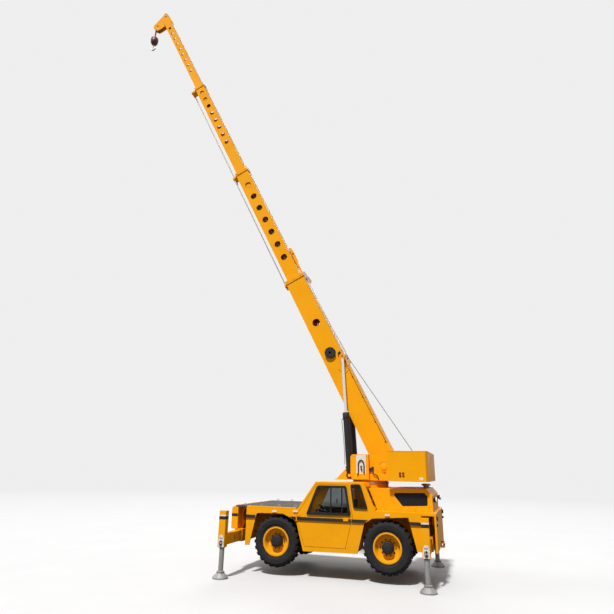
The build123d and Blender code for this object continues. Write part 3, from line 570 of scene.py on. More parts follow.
class CRANE_OT_stage(bpy.types.Operator):
    """Makes the floor, the lamps and the camera"""
    bl_idname = "crane.stage"
    bl_label = "Floor, light and camera"

    def execute(self, context):
        settings, scene = context.scene.crane_stage, context.scene
        scene.view_settings.view_transform = "Standard"
        self.floor(settings)
        self.world(settings)
        for name, (share, towards, angle) in LAMPS.items():
            lamp = bpy.data.lights.new(name, "SUN")
            lamp.energy, lamp.angle = settings.sun * share, math.radians(angle)
            holder = bpy.data.objects.new(name, lamp)
            direction = unit(towards)
            holder.rotation_euler = (math.acos(-direction[2]), 0, math.atan2(-direction[0], direction[1]))
            scene.collection.objects.link(holder)
        self.camera(scene)
        return {"FINISHED"}

    def floor(self, settings):
        """A level floor that the camera sees pale, and that runs into the background with distance."""
        mesh = bpy.data.meshes.new("floor")
        mesh.from_pydata([(x, y, 0.0) for x, y in oblong(800, 800)], [], [(0, 1, 2, 3)])
        floor = bpy.data.objects.new("floor", mesh)
        bpy.context.scene.collection.objects.link(floor)
        f = Finish("floor_paint", 0.9)
        f.shader.inputs["Specular IOR Level"].default_value = 0.1
        seen = f.node("ShaderNodeLightPath").outputs["Is Camera Ray"]
        lit = settings.sun * 0.85 / math.pi + settings.sky
        grey = (settings.floor,) * 3
        pale = f.mix(f.ramp(f.noise(0.6), 0.3, 0.7), rgba(grey, 0.97 / lit), rgba(grey, 1 / lit))
        f.paint(f.mix(seen, rgba(grey, 0.2), pale))
        distance = f.node("ShaderNodeVectorMath", {0: f.place}, operation="LENGTH").outputs["Value"]
        glow = f.node("ShaderNodeEmission", {"Color": rgba(grey), "Strength": 1.0})
        fade = f.times(seen, f.ramp(distance, *FADE))
        mixed = f.node("ShaderNodeMixShader", {0: fade, 1: f.shader.outputs[0], 2: glow.outputs[0]})
        f.tree.links.new(mixed.outputs[0], f.tree.nodes["Material Output"].inputs["Surface"])
        mesh.materials.append(f.material)

    def world(self, settings):
        """Even light from all round, and the pale background that camera, glass and gloss show."""
        world = bpy.data.worlds.new("studio")
        bpy.context.scene.world = world
        world.use_nodes = True
        tree = world.node_tree
        even = tree.nodes["Background"]
        even.inputs["Color"].default_value = (1, 1, 1, 1)
        even.inputs["Strength"].default_value = settings.sky
        shown = tree.nodes.new("ShaderNodeBackground")
        shown.inputs["Color"].default_value = rgba((settings.floor,) * 3)
        path = tree.nodes.new("ShaderNodeLightPath").outputs
        either = path["Is Camera Ray"]
        for name in ("Is Transmission Ray", "Is Glossy Ray"):
            joined = tree.nodes.new("ShaderNodeMath")
            joined.operation = "MAXIMUM"
            tree.links.new(either, joined.inputs[0])
            tree.links.new(path[name], joined.inputs[1])
            either = joined.outputs[0]
        mixed = tree.nodes.new("ShaderNodeMixShader")
        for index, socket in enumerate((either, even.outputs[0], shown.outputs[0])):
            tree.links.new(socket, mixed.inputs[index])
        tree.links.new(mixed.outputs[0], tree.nodes["World Output"].inputs["Surface"])

    def camera(self, scene):
        """Sets the camera by its place, its heading from the crane's left side, its pitch and its roll."""
        yaw, pitch, roll = CAMERA_TURN
        sight = np.array((math.sin(yaw) * math.cos(pitch), -math.cos(yaw) * math.cos(pitch), math.sin(pitch)))
        right = np.array((-math.cos(yaw), -math.sin(yaw), 0))
        above = np.cross(right, sight)
        level = right * math.cos(roll) + above * math.sin(roll)
        head = -right * math.sin(roll) + above * math.cos(roll)
        lens = bpy.data.cameras.new("camera")
        lens.sensor_width, lens.lens = 36.0, 36.0 * LENS_LENGTH
        lens.clip_end = 2000
        camera = bpy.data.objects.new("camera", lens)
        matrix = np.eye(4)
        matrix[:3, 0], matrix[:3, 1], matrix[:3, 2], matrix[:3, 3] = level, head, -sight, at(*CAMERA_PLACE)
        camera.matrix_world = Matrix(matrix.tolist())
        scene.collection.objects.link(camera)
        scene.camera = camera


def on_side(form, outline, y, thickness, sign=1):
    """A flat outline (x ahead of the rear axle, z) standing on an upright face at y, raised outwards."""
    return form.plate(outline, at(0, sign * y, 0), X, Z, -sign * thickness)


# Runs of the stripe: each end's distance ahead of the rear axle, at the stripe's lower and upper edge.
SIDE_RUNS = (
    ((3.34, 3.34), (3.107, 3.091)), ((2.12, 2.244), (2.084, 2.084)), ((0.779, 0.763), (0.495, 0.394)),
    ((-0.521, -0.504), (-0.755, -0.755)),
)
DOOR_RUN = ((2.054, 2.05), (0.793, 0.776))
NOSE_RUN = ((3.637, 3.637), (3.80, 3.80))
NOSE_SIDE = 1.05
LABELS = ((2.622, 1.37), (2.101, 1.39), (-0.027, 1.388))
PAINT_FILM, LABEL_FILM = 0.002, 0.0015
LEG = (0.161, 0.151)  # a leg's outline with the thickness of its bands


class CRANE_OT_stripes(bpy.types.Operator):
    """Adds the dark stripe round the body and the blank white labels"""
    bl_idname = "crane.stripes"
    bl_label = "Stripes and labels"

    def execute(self, context):
        trim = context.scene.crane_trim
        low, high = trim.stripe_low, trim.stripe_high

        def run(form, ends, side, sign=1):
            """One run of the stripe, a slanting four-sided film on a side."""
            (a_low, a_high), (b_low, b_high) = ends
            return on_side(form, [(a_low, low), (a_high, high), (b_high, high), (b_low, low)], side, PAINT_FILM, sign)

        stripe, labels = Form(), Form()
        for ends in SIDE_RUNS:
            run(stripe, ends, BODY_SIDE)
            run(stripe, ends, BODY_SIDE, -1)
        run(stripe, DOOR_RUN, BODY_SIDE, -1)
        nose = np.array((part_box("nose")[1].x, 0, (low + high) / 2))
        stripe.plate(oblong(2 * NOSE_SIDE, high - low), nose, Y, Z, PAINT_FILM)
        for sign in SIDES:
            run(stripe, NOSE_RUN, NOSE_SIDE, sign)
        stripe.piece("body_stripe", "chassis", STRIPE)
        run(Form(), DOOR_RUN, BODY_SIDE).piece("door_stripe", "door", STRIPE)
        for place in LABELS:
            for sign in SIDES:
                on_side(labels, soft_oblong(0.11, 0.038, 0.006, *place), BODY_SIDE, LABEL_FILM, sign)
        labels.piece("blank_labels", "chassis", ENAMEL)
        for corner, sign in CORNERS.items():
            self.leg(corner, sign, low, high)
        return {"FINISHED"}

    def leg(self, corner, sign, low, high):
        """The bands round an outrigger's leg, its blank labels and its locking pin."""
        lo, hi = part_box(f"outrigger_{corner}")
        face = max(abs(lo.y), abs(hi.y))
        x = (lo.x + hi.x) / 2 - REAR
        band, white, pin = Form(), Form(), Form()
        for form, bottom, top in ((band, low, high), (white, high + 0.004, high + 0.034)):
            form.border(oblong(*LEG), 0.004, at(x, sign * (face - 0.075), bottom), X, Y, top - bottom)
        for width, height, radius, up in ((0.125, 0.19, 0.012, 0.10), (0.09, 0.075, 0.03, 0.215)):
            on_side(white, soft_oblong(width, height, radius, x, lo.z + up), face, LABEL_FILM, sign)
        band.piece(f"leg_stripe_{corner}", f"outrigger_{corner}", STRIPE)
        white.piece(f"leg_label_{corner}", f"outrigger_{corner}", ENAMEL)
        for z in (0.06, 0.125):
            pin.nut(at(x, sign * face, lo.z + z), sign * Y, 0.016, 0.018)
        bow = ((-0.03, 0.012, 0.13), (-0.03, 0.014, 0.06), (0, 0.016, 0.03), (0.03, 0.014, 0.06), (0.03, 0.012, 0.13))
        pin.tube(flowing(places(*((x + a, sign * (face + b), lo.z + c) for a, b, c in bow))), 0.006, 8)
        pin.piece(f"leg_lock_{corner}", f"outrigger_{corner}", IRON)


TYRE_HALF_WIDTH = 0.19  # the half width that the sections below are drawn at
TREAD_DEPTH = 0.030
SIDEWALL = (
    (0.2905, 0.148), (0.302, 0.158), (0.320, 0.160), (0.345, 0.170), (0.372, 0.181), (0.378, 0.1865), (0.384, 0.1825),
    (0.41, 0.188), (0.432, 0.1895), (0.455, 0.1885), (0.462, 0.190), (0.468, 0.186), (0.49, 0.178),
)
INNER_WALL = ((0.2905, 0.12), (0.33, 0.14), (0.42, 0.165), (0.485, 0.14))
# Along a lug from the middle to the shoulder: distance across, how far its top and its foot lie
# below the tyre's radius, and its half angle and lead angle as shares of the pitch.
LUG_STATIONS = np.array([
    (0.006, 0, 0.04, 0.25, 0.0), (0.050, 0, 0.04, 0.25, 0.02), (0.100, 0.001, 0.045, 0.26, 0.05),
    (0.138, 0.004, 0.055, 0.27, 0.08), (0.156, 0.016, 0.07, 0.28, 0.10), (0.173, 0.050, 0.085, 0.27, 0.12),
    (0.187, 0.098, 0.112, 0.23, 0.13),
])
LUG_CORNERS = np.array([-1.0, -0.88, 0.88, 1.0])  # a lug's foot and top corners, as shares of its half angle
HUB_PROFILE = (
    (0.134, -0.126), (0.126, -0.006), (0.120, 0.005), (0.116, 0.008), (0.096, 0.009), (0.092, 0.015), (0.062, 0.018),
    (0.057, 0.024), (0.030, 0.026), (0.026, 0.022), (0.0, 0.022),
)


class CRANE_OT_tyres(bpy.types.Operator):
    """Adds the lugged tyres, the hubs and the wheel nuts"""
    bl_idname = "crane.tyres"
    bl_label = "Tyres and hubs"

    def execute(self, context):
        for corner, sign in CORNERS.items():
            lo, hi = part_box(f"tyre_{corner}")
            centre = np.array((lo + hi) / 2)
            outer, half = (hi.z - lo.z) / 2, (hi.y - lo.y) / 2
            tyre = self.carcass(Form(), centre, outer, half)
            self.tread(tyre, centre, outer, half, sign, context.scene.crane_trim.lugs)
            shown = tyre.piece(f"tread_{corner}", f"wheel_{corner}", ("tyre_rubber", "tyre_rubber"), smooth=40)
            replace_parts(shown, f"tyre_{corner}")
            self.hub(corner, sign, centre)
        return {"FINISHED"}

    def carcass(self, form, centre, outer, half):
        """Spins a tyre section: (radius, distance from mid-plane) through bead, bulge, ribs and crown."""
        base = outer - TREAD_DEPTH
        side = [*SIDEWALL, (base - 0.01, 0.16), (base, 0.13)]
        crown = [(base + 0.006, 0.06), (base + 0.008, 0.0), (base + 0.006, -0.06)]
        inner = [(r, -y) for r, y in INNER_WALL] + list(INNER_WALL[::-1])
        profile = np.array(side + crown + [(r, -y) for r, y in side[::-1]] + inner)
        profile[:, 1] *= half / TYRE_HALF_WIDTH
        return form.turned(profile, centre, Y, 96, ring=True)

    def tread(self, form, centre, outer, half, sign, lugs):
        """Lugs: a bar from the middle over the shoulder, whose four corners are each station's
        values turned to the lug's own angle. The two rows are half a pitch apart."""
        pitch = ROUND / lugs
        y, above, below, wide, lead = LUG_STATIONS.T
        top, foot = outer - above, outer - below
        radius = np.stack([foot, top, top, foot], 1)
        for way in SIDES:
            start = pitch * (0.75 if way * sign > 0 else 0.25)
            turn = start + pitch * np.arange(lugs)[:, None, None]
            angle = turn + (lead * pitch)[:, None] + (wide * pitch)[:, None] * LUG_CORNERS
            across = np.broadcast_to((way * y * (half / TYRE_HALF_WIDTH))[:, None], angle.shape)
            for lug in np.stack([radius * np.cos(angle), across, radius * np.sin(angle)], -1) + centre:
                form.skin(lug, ring_columns=True, caps=True)

    def hub(self, corner, sign, centre):
        """The planetary hub cover with its bolt circles, and the wheel nuts round it."""
        face = abs(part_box(f"rim_{corner}")[1 if sign > 0 else 0].y) - 0.013
        out = sign * Y
        foot = np.array((centre[0], sign * face, centre[2]))
        hub = Form().turned(HUB_PROFILE, foot, out, 48)
        hub.repeated(Form().nut(foot + 0.008 * out, out, 0.0085, 0.008), circle(12) * 0.106)
        hub.repeated(Form().nut(foot + 0.016 * out, out, 0.006, 0.006), circle(12)[::2] * 0.077)
        hub.piece(f"hub_{corner}", f"wheel_{corner}", IRON)
        disc = centre + (face - 0.123 - abs(centre[1])) * out
        nuts = Form().repeated(Form().nut(disc, out, 0.015, 0.022), circle(10) * 0.168)
        nuts.piece(f"wheel_nuts_{corner}", f"wheel_{corner}", ("cast_iron", "bare_steel"))


class CRANE_OT_deck(bpy.types.Operator):
    """Adds the deck's edging and tie-down rings"""
    bl_idname = "crane.deck"
    bl_label = "Deck fittings"

    def execute(self, context):
        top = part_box("front_deck")[1].z
        rings, edge = Form(), Form()
        eye = [(-0.03, 0, 0.006), (-0.032, 0.004, 0.03), (0, 0.006, 0.048), (0.032, 0.004, 0.03), (0.03, 0, 0.006)]
        for x in (3.42, 3.0, 2.55, 2.15):
            base = at(x, 1.12, top)
            rings.brick(base + (-0.04, -0.012, 0), base + (0.04, 0.012, 0.012))
            rings.tube(flowing(base + eye), 0.007, 8)
        rings.mirrored().piece("tie_down_rings", "chassis", STEEL, bevel=0.002)
        for sign in SIDES:
            edge.brick(at(2.10, sign * 1.19, 1.43), at(3.34, sign * 1.218, top))
        edge.brick(at(3.62, -1.05, 1.43), at(3.70, 1.05, top - 0.001))
        edge.piece("deck_edging", "chassis", PAINT, bevel=0.004)
        return {"FINISHED"}


# Window openings, as distances ahead of the rear axle and heights.
DOOR_WINDOW = np.array([(1.831, 1.336), (1.574, 1.960), (0.894, 1.965), (0.796, 1.345)])
REAR_WINDOW = np.array([(0.788, 2.000), (0.567, 2.005), (0.407, 1.494), (0.725, 1.504)])


class CRANE_OT_cab(bpy.types.Operator):
    """Adds the window rubbers, the sliding window's bars, handle, hinge bolts, wiper, roof panel and levers"""
    bl_idname = "crane.cab"
    bl_label = "Cab fittings"

    def execute(self, context):
        self.frame_of(DOOR_WINDOW, 0.052).piece("door_window_rubber", "door", PLASTIC, bevel=0.004)
        bars, handle, hinges, levers = Form(), Form(), Form(), Form()
        edge = DOOR_WINDOW[::-1]
        for x in (1.26, 1.001):
            top = np.interp(x, edge[:, 0], edge[:, 1]) - 0.02
            bars.brick(at(x - 0.014, 1.196, 1.36), at(x + 0.014, 1.216, top))
        bars.brick(at(1.10, 1.205, 1.60), at(1.125, 1.222, 1.68))
        bars.piece("sliding_window_bars", "door", PLASTIC, bevel=0.003)
        self.frame_of(REAR_WINDOW, 0.036).piece("side_window_rubber", "chassis", PLASTIC, bevel=0.004)
        on_side(handle, soft_oblong(0.115, 0.075, 0.012, 0.905, 1.262), BODY_SIDE, 0.006)
        grip = (
            (0.87, BODY_SIDE, 1.275), (0.875, 1.245, 1.277), (0.91, 1.252, 1.277), (0.94, 1.245, 1.277),
            (0.945, BODY_SIDE, 1.275),
        )
        handle.tube(flowing(places(*grip)), 0.009, 10)
        handle.piece("door_handle", "door", PAINT, bevel=0.002)
        for z in (1.2085, 1.3015):
            for x in (2.004, 2.04):
                hinges.nut(at(x, 1.234, z), Y, 0.007, 0.006)
        hinges.piece("door_hinge_bolts", "door", BOLTS)
        self.windscreen()
        roof = Form().plate(rounded(oblong(1.02, 0.60), 0.05), at(1.04, 0.845, 2.045), X, Y, 0.006)
        roof.piece("roof_panel", "chassis", PAINT, bevel=0.003)
        for y in (0.70, 0.76, 0.94, 1.0):
            foot = at(1.72, y, 1.24)
            levers.tube(flowing([foot, foot + (-0.02, 0, 0.07), foot + (-0.05, 0, 0.15)]), 0.006, 8)
            knob = [(0, -0.024), (0.014, -0.018), (0.019, 0), (0.014, 0.018), (0, 0.024)]
            levers.turned(knob, foot + (-0.055, 0, 0.165), Z, 14)
        levers.piece("control_levers", "chassis", PLASTIC)
        return {"FINISHED"}

    def frame_of(self, window, width):
        """A rubber round a window opening, standing a little proud of the panel on both sides."""
        outline = rounded(inset(window, -0.006), 0.048)
        return Form().border(outline, width, at(0, BODY_SIDE + 0.004, 0), X, Z, 0.022)

    def windscreen(self):
        """The windscreen's rubber and its wiper, square to the sloping glass."""
        slope, out = unit((-0.408, 0, 0.577)), unit((0.577, 0, 0.408))
        wiper = Form()
        foot = at(2.0, 0.80, 1.51) + 0.012 * out
        wiper.bar(foot - 0.02 * out, out, 0.022, 0.03)
        blade = foot + 0.30 * slope + 0.10 * Y
        wiper.tube([foot, blade, foot + 0.34 * slope + 0.11 * Y], 0.006, 8)
        wiper.tube([blade - 0.2 * slope - 0.004 * out, blade + 0.22 * slope - 0.004 * out], 0.009, 6)
        wiper.piece("wiper", "chassis", PLASTIC)
        pane = soft_oblong(0.54, 0.60, 0.06, 0.86, 0.35)
        rubber = Form().border(pane, 0.04, at(2.030, 0, 1.468), Y, slope, 0.008)
        rubber.piece("windscreen_rubber", "chassis", PLASTIC)


SQUARE, CROWN = 0.35, 0.55  # a cushion's powers in plan and in height: the lower, the squarer
CHANNEL_DEPTH, CHANNEL_Y = 0.006, 0.105  # its sewn channels, and how far from its middle they run


class CRANE_OT_seat(bpy.types.Operator):
    """Adds the driver's seat: two cushions on a bellows base"""
    bl_idname = "crane.seat"
    bl_label = "Driver's seat"

    def execute(self, context):
        lo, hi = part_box("driver_seat")
        y = (lo.y + hi.y) / 2
        base = Form()

        def block(x, half_x, half_y, low, high):
            """A block of the base, measured from the seat's back lower corner."""
            base.brick((lo.x + x - half_x, y - half_y, lo.z + low), (lo.x + x + half_x, y + half_y, lo.z + high))

        block(0.31, 0.17, 0.15, 0, 0.06)
        for level in range(6):
            half = 0.14 - 0.012 * (level % 2)
            block(0.31, half, half, 0.06 + level * 0.045, 0.105 + level * 0.045)
        block(0.305, 0.215, 0.2, 0.33, 0.352)
        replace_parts(base.piece("seat_base", "chassis", PLASTIC, bevel=0.006), "driver_seat")
        cushion = self.pad("seat_cushion", np.array((lo.x + 0.32, y, lo.z + 0.40)), (0.22, 0.215, 0.05), 0.0)
        backrest = self.pad("seat_back", np.array((lo.x + 0.115, y, lo.z + 0.73)), (0.05, 0.20, 0.31), -0.13)
        return {"FINISHED"}

    def pad(self, name, centre, size, lean):
        """A crowned cushion: a superellipsoid, each coordinate a signed power of sine and cosine,
        its faces pinched along two sewn channels by a bell curve of the distance across."""
        round_it = np.linspace(0, ROUND, 72, endpoint=False)
        u, v = np.meshgrid(np.linspace(-np.pi / 2, np.pi / 2, 40), round_it, indexing="ij")

        def power(value, exponent):
            """A power that keeps its value's sign."""
            return np.sign(value) * np.abs(value) ** exponent

        x = power(np.cos(u), SQUARE) * power(np.cos(v), SQUARE) * size[0]
        y = power(np.cos(u), SQUARE) * power(np.sin(v), SQUARE) * size[1]
        z = power(np.sin(u), CROWN) * size[2]
        channel = CHANNEL_DEPTH * np.exp(-((np.abs(y) - CHANNEL_Y) / 0.012) ** 2)
        thin = int(np.argmin(size))
        grid = np.stack([x, y, z], -1)
        grid[..., thin] -= np.sign(grid[..., thin]) * channel
        grid[..., 0] += lean * grid[..., 2]
        cushion = Form().skin(grid + centre, ring_columns=True, caps=True)
        return cushion.piece(name, "chassis", ("seat_vinyl", "seat_vinyl"), smooth=80)


class CRANE_OT_hood(bpy.types.Operator):
    """Adds the grille's screens, the hood's latches and seam, and the ribbed intake cap"""
    bl_idname = "crane.hood"
    bl_label = "Engine hood"

    def execute(self, context):
        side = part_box("engine_hood")[1].y
        grille = [(-0.12, 1.84), (-0.83, 1.86), (-0.90, 1.785), (-0.89, 1.59), (-0.343, 1.566)]
        screen = on_side(Form(), rounded(inset(grille, 0.004), 0.04), 0.972, 0.003)
        screen.mirrored().piece("grille_screens", "chassis", PLASTIC)
        trim = Form()
        for x in (-0.62, 0.05):
            trim.brick(at(x - 0.03, side, 1.49), at(x + 0.03, side + 0.008, 1.53))
            trim.brick(at(x - 0.012, side + 0.006, 1.485), at(x + 0.012, side + 0.014, 1.56))
        trim.brick(at(-0.99, side - 0.001, 1.478), at(0.225, side + 0.004, 1.484))
        trim.mirrored().piece("hood_trim", "chassis", PAINT, bevel=0.002)
        lo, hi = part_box("intake_cap")
        centre, height = np.array(((lo.x + hi.x) / 2, 0, lo.z)), hi.z - lo.z
        hood = [(0.058, 0), (0.058, 0.5), (0.108, 0.52), (0.110, 0.66), (0.104, 0.9), (0.06, 0.98), (0.0, 1)]
        cap = Form().turned([(r, height * share) for r, share in hood], centre, Z, 40)
        cap.repeated(Form().bar(centre + (0, 0, 0.01), Z, 0.004, height * 0.45, 6), circle(20, X, Y) * 0.066)
        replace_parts(cap.piece("intake_hood", "chassis", STEEL), "intake_cap")
        return {"FINISHED"}


# A working lamp's bezel and lens, and a head lamp's lens: radius and distance along the crane.
BEZEL = ((0.0622, -0.060), (0.066, -0.062), (0.066, -0.086), (0.056, -0.086), (0.056, -0.083), (0.0622, -0.082))
WORK_LENS = ((0.0, -0.090), (0.03, -0.088), (0.054, -0.084), (0.056, -0.080), (0, -0.080))
HEAD_LENS = ((0.0, 0.036), (0.03, 0.034), (0.052, 0.030), (0.054, 0.026), (0.0, 0.026))


class CRANE_OT_lamps(bpy.types.Operator):
    """Adds the lenses and bezels of the working, tail and head lamps"""
    bl_idname = "crane.lamps"
    bl_label = "Lamps"

    def execute(self, context):
        houses, white, red, amber, bezels = Form(), Form(), Form(), Form(), Form()
        nose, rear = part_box("nose")[1].x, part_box("lamps")[0].x
        tail = (
            (red, 1.139, 1.170, 1.316, 1.394), (amber, 1.100, 1.136, 1.316, 1.394), (white, 1.100, 1.170, 1.200, 1.240),
        )
        for sign in SIDES:
            work, head = at(-1.0, sign * 0.82, 1.71), np.array((nose, sign * 0.93, 1.35))
            white.turned(WORK_LENS, work, X, 28)
            bezels.turned(BEZEL, work, X, 32, ring=True)
            for form, inner, outer, low, high in tail:
                form.brick((rear - 0.004, sign * inner, low), (rear + 0.001, sign * outer, high))
            houses.bar(head - 0.002 * X, X, 0.062, 0.03, 32)
            white.turned(HEAD_LENS, head, X, 28)
        for form, name, look in (
            (houses, "lamp_houses", PLASTIC), (white, "white_lenses", ("clear_lens", "window_glass")),
            (red, "red_lenses", ("red_lens", "hook_red")), (amber, "amber_lenses", ("amber_lens", "hook_red")),
            (bezels, "lamp_bezels", ("white_enamel", "grey_steel")),
        ):
            form.piece(name, "chassis", look, bevel=0.003)
        return {"FINISHED"}


# The front and the rear beams' middle heights, and where the slots in them lie across the crane: each slot is a flat
# dark plate, painted shade where the slot's hollow would be.
BEAM_MIDDLE = {"f": (0.675 + 0.905) / 2, "r": (0.70 + 0.95) / 2}
SLOT_Y = {"f": 1.42, "r": 1.25}
FOOT_PROFILE = (
    (0.170, 0.0), (0.1718, 0.004), (0.1718, 0.026), (0.165, 0.034), (0.12, 0.05), (0.088, 0.075), (0.078, 0.105),
    (0.088, 0.118), (0.088, 0.140), (0.07, 0.152), (0.0565, 0.158), (0.0565, 0.02),
)
FOOT_RIB = ((0.07, 0.04), (0.16, 0.036), (0.16, 0.05), (0.085, 0.11), (0.07, 0.11))


class CRANE_OT_outriggers(bpy.types.Operator):
    """Adds the beams' end slots as flat dark plates of painted shade, the jack collars, the leg caps and the feet"""
    bl_idname = "crane.outriggers"
    bl_label = "Outrigger detail"

    def execute(self, context):
        for corner, sign in CORNERS.items():
            lo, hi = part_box(f"outrigger_{corner}")
            centre = middle(f"jack_{corner}") * (1, 1, 0)
            dark, cap, foot = Form(), Form(), Form()
            # Each slot is a flat dark plate on a beam's end: painted shade where the slot's hollow would be dark.
            slot = soft_oblong(0.03, 0.10, 0.012, sign * SLOT_Y[corner[0]], BEAM_MIDDLE[corner[0]])
            for x, way in ((lo.x, -1), (hi.x, 1)):
                dark.plate(slot, x * X, Y, Z, 0.002 * way)
            collar = [(0.0475, 0), (0.070, 0), (0.074, 0.003), (0.074, 0.014), (0.0475, 0.016)]
            dark.turned(collar, centre + (0, 0, lo.z - 0.015), Z, 40, ring=True)
            dark.piece(f"beam_slots_{corner}", f"outrigger_{corner}", IRON)
            top = hi.z + 0.005
            cap.brick(centre + (-0.0795, -0.0745, hi.z), centre + (0.0795, 0.0745, top))
            for x, y in oblong(0.124, 0.112):
                cap.nut(centre + (x, y, top), Z, 0.009, 0.005)
            cap.piece(f"leg_caps_{corner}", f"outrigger_{corner}", PAINT, bevel=0.002)
            foot.turned(FOOT_PROFILE, centre + (0, 0, 0.0005), Z, 56)
            for way in circle(8, X, Y):
                foot.plate(FOOT_RIB, centre + 0.004 * np.cross(way, Z), way, Z, 0.008)
            foot.piece(f"foot_{corner}", f"jack_{corner}", ("foot_grey", "grey_steel"))
        return {"FINISHED"}


# The looped hose on the control box, and the hose that drops from the port beside it.
CONTROL_LOOP = (
    (0.60, 2.27), (0.598, 2.42), (0.615, 2.51), (0.668, 2.55), (0.722, 2.51), (0.74, 2.42), (0.738, 2.28), (0.76, 2.20),
)
DROP_HOSE = ((0.42, 0.48, 2.30), (0.38, 0.49, 2.24), (0.30, 0.487, 2.20), (0.27, 0.48, 2.13), (0.27, 0.44, 2.112))
PIN_CAP = (
    (0.0, 0.012), (0.045, 0.012), (0.052, 0.008), (0.066, 0.008), (0.0705, 0.0), (0.0705, -0.018), (0.0, -0.018),
)
PIN_COLLAR = ((0.0705, 0), (0.115, 0), (0.118, 0.004), (0.118, 0.010), (0.0705, 0.014))


class CRANE_OT_turret(bpy.types.Operator):
    """Adds the control panel, the hoses with a painted crescent of shade by the foot pin, the pivots' caps, bolts, the
    counterweight's fittings and the slewing ring
    """
    bl_idname = "crane.turret"
    bl_label = "Turret and counterweight"

    def execute(self, context):
        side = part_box("control_box")[1].y
        panel, bolts = Form(), Form()
        on_side(panel, soft_oblong(0.235, 0.43, 0.015, 0.672, 2.452), side, 0.004)
        panel.piece("control_panel", "turret", ENAMEL, bevel=0.002)
        self.hoses(context.scene.crane_trim.hose, side)
        self.pivots()
        for x in (0.53, 0.60, 0.82, 0.885):
            for z in (2.15, 2.64):
                for sign in SIDES:
                    bolts.nut(at(x, sign * side, z), sign * Y, 0.008, 0.008)
        bolts.piece("turret_bolts", "turret", BOLTS)
        self.counterweight()
        self.slew_ring()
        return {"FINISHED"}

    def hoses(self, radius, side):
        """Hoses by the controls and over the foot, their unions and ports, and the dark arc and spot on the plate
        beside the foot pin. The arc is painted shade, the crescent of shadow at the edge of the pin's collar; it lies
        between two radii that differ along it."""
        dark = Form()
        dark.tube(flowing(places(*((x, side + 0.022, z) for x, z in CONTROL_LOOP))), radius, 12)
        for x, z in ((0.60, 2.27), (0.67, 2.40), (0.66, 2.33)):
            dark.bar(at(x, side + 0.004, z), Y, 0.022, 0.03, 16)
        for x, z in ((0.41, 2.36), (0.47, 2.33)):
            on_side(dark, soft_oblong(0.055, 0.085, 0.01, x, z), 0.455, 0.03)
        dark.tube(flowing(places(*DROP_HOSE)), radius * 0.8, 10)
        for y in (-0.12, -0.06, 0.06, 0.12):
            over = places((0.95, y, 2.108), (0.80, y * 1.1, 2.118), (0.62, y * 1.2, 2.118), (0.50, y, 2.112))
            dark.tube(flowing(over), radius, 10)
        # The dark arc is painted shade: a crescent of shadow round the upper side of the foot pin's collar.
        face = PIVOT + 0.4552 * Y
        turn = np.radians(np.linspace(-42, 66, 14))
        arc = np.stack([np.cos(turn), np.sin(turn)], 1)
        edge = arc * np.linspace(0.119, 0.127, len(arc))[:, None]
        dark.plate(np.vstack([arc * 0.132, edge[::-1]]), face, UP, BACK, -0.001)
        dark.turned([(0.0, 0.001), (0.017, 0.001), (0.017, 0.0), (0.0, 0.0)], face - 0.125 * UP - 0.04 * BACK, Y, 20)
        dark.piece("turret_hoses", "turret", RUBBER)

    def pivots(self):
        """The bolted caps and collars on the boom's foot pin, and the discs on the lift cylinders' foot pins."""
        caps = Form()
        for sign in SIDES:
            out = sign * Y
            caps.turned(PIN_CAP, PIVOT + 0.4755 * out, out, 36)
            caps.repeated(Form().nut(PIVOT + 0.4835 * out, out, 0.008, 0.008), circle(6) * 0.058)
            caps.turned(PIN_COLLAR, PIVOT + 0.455 * out, out, 40, ring=True)
            caps.turned([(0.0, 0.0), (0.055, 0.0), (0.055, 0.010), (0.0, 0.014)], FOOT + 0.235 * out, -out, 28)
        caps.piece("pivot_caps", "turret", PAINT, bevel=0.0015)

    def counterweight(self):
        """Weld seams and the raised plate at the back, a blank label and four round reflectors."""
        lo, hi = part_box("counterweight")
        steel, plate, red = Form(), Form(), Form()
        for sign in SIDES:
            face = sign * (hi.y + 0.0005)
            for z in (lo.z + 0.012, hi.z - 0.012):
                steel.tube([(lo.x + 0.055, face, z), (hi.x - 0.01, face, z)], 0.0045, 6)
        steel.brick((lo.x - 0.004, -0.30, lo.z + 0.10), (lo.x + 0.002, 0.30, hi.z - 0.10))
        steel.piece("counterweight_trim", "turret", PAINT, bevel=0.002)
        on_side(plate, soft_oblong(0.085, 0.05, 0.006, -0.80, 2.157), hi.y, 0.002)
        plate.piece("counterweight_label", "turret", ENAMEL)
        for z in (2.262, 2.205):
            for x in (-0.41, -0.34):
                red.turned([(0.0, 0.014), (0.017, 0.012), (0.026, 0.004), (0.028, 0.0), (0, 0)], at(x, hi.y, z), Y, 20)
        red.piece("reflectors", "turret", ("reflector_red", "hook_red"))

    def slew_ring(self):
        """The band round the slewing bearing and its ring of bolts."""
        centre = np.array(JOINT["turret_slew"]["pos_m"])
        band = [(0.44, -0.065), (0.452, -0.063), (0.452, -0.030), (0.44, -0.028)]
        ring = Form().turned(band, centre, Z, 72, ring=True)
        ring.repeated(Form().bar(centre, Z, 0.007, 0.012, 6), circle(36, X, Y) * 0.405)
        ring.piece("slew_ring", "chassis", STEEL)


DRUM_RADIUS, DRUM_HALF = 0.111, 0.262  # the winch drum under its rope, and half the rope's length along it
GUIDE_ROLLERS = ((3.02, 0.383), (5.79, 0.383))  # where the rope lies on the base section's two rollers
HEAD_SHEAVE, LOWER_SHEAVE = (19.4, 0.100), (19.18, -0.370)


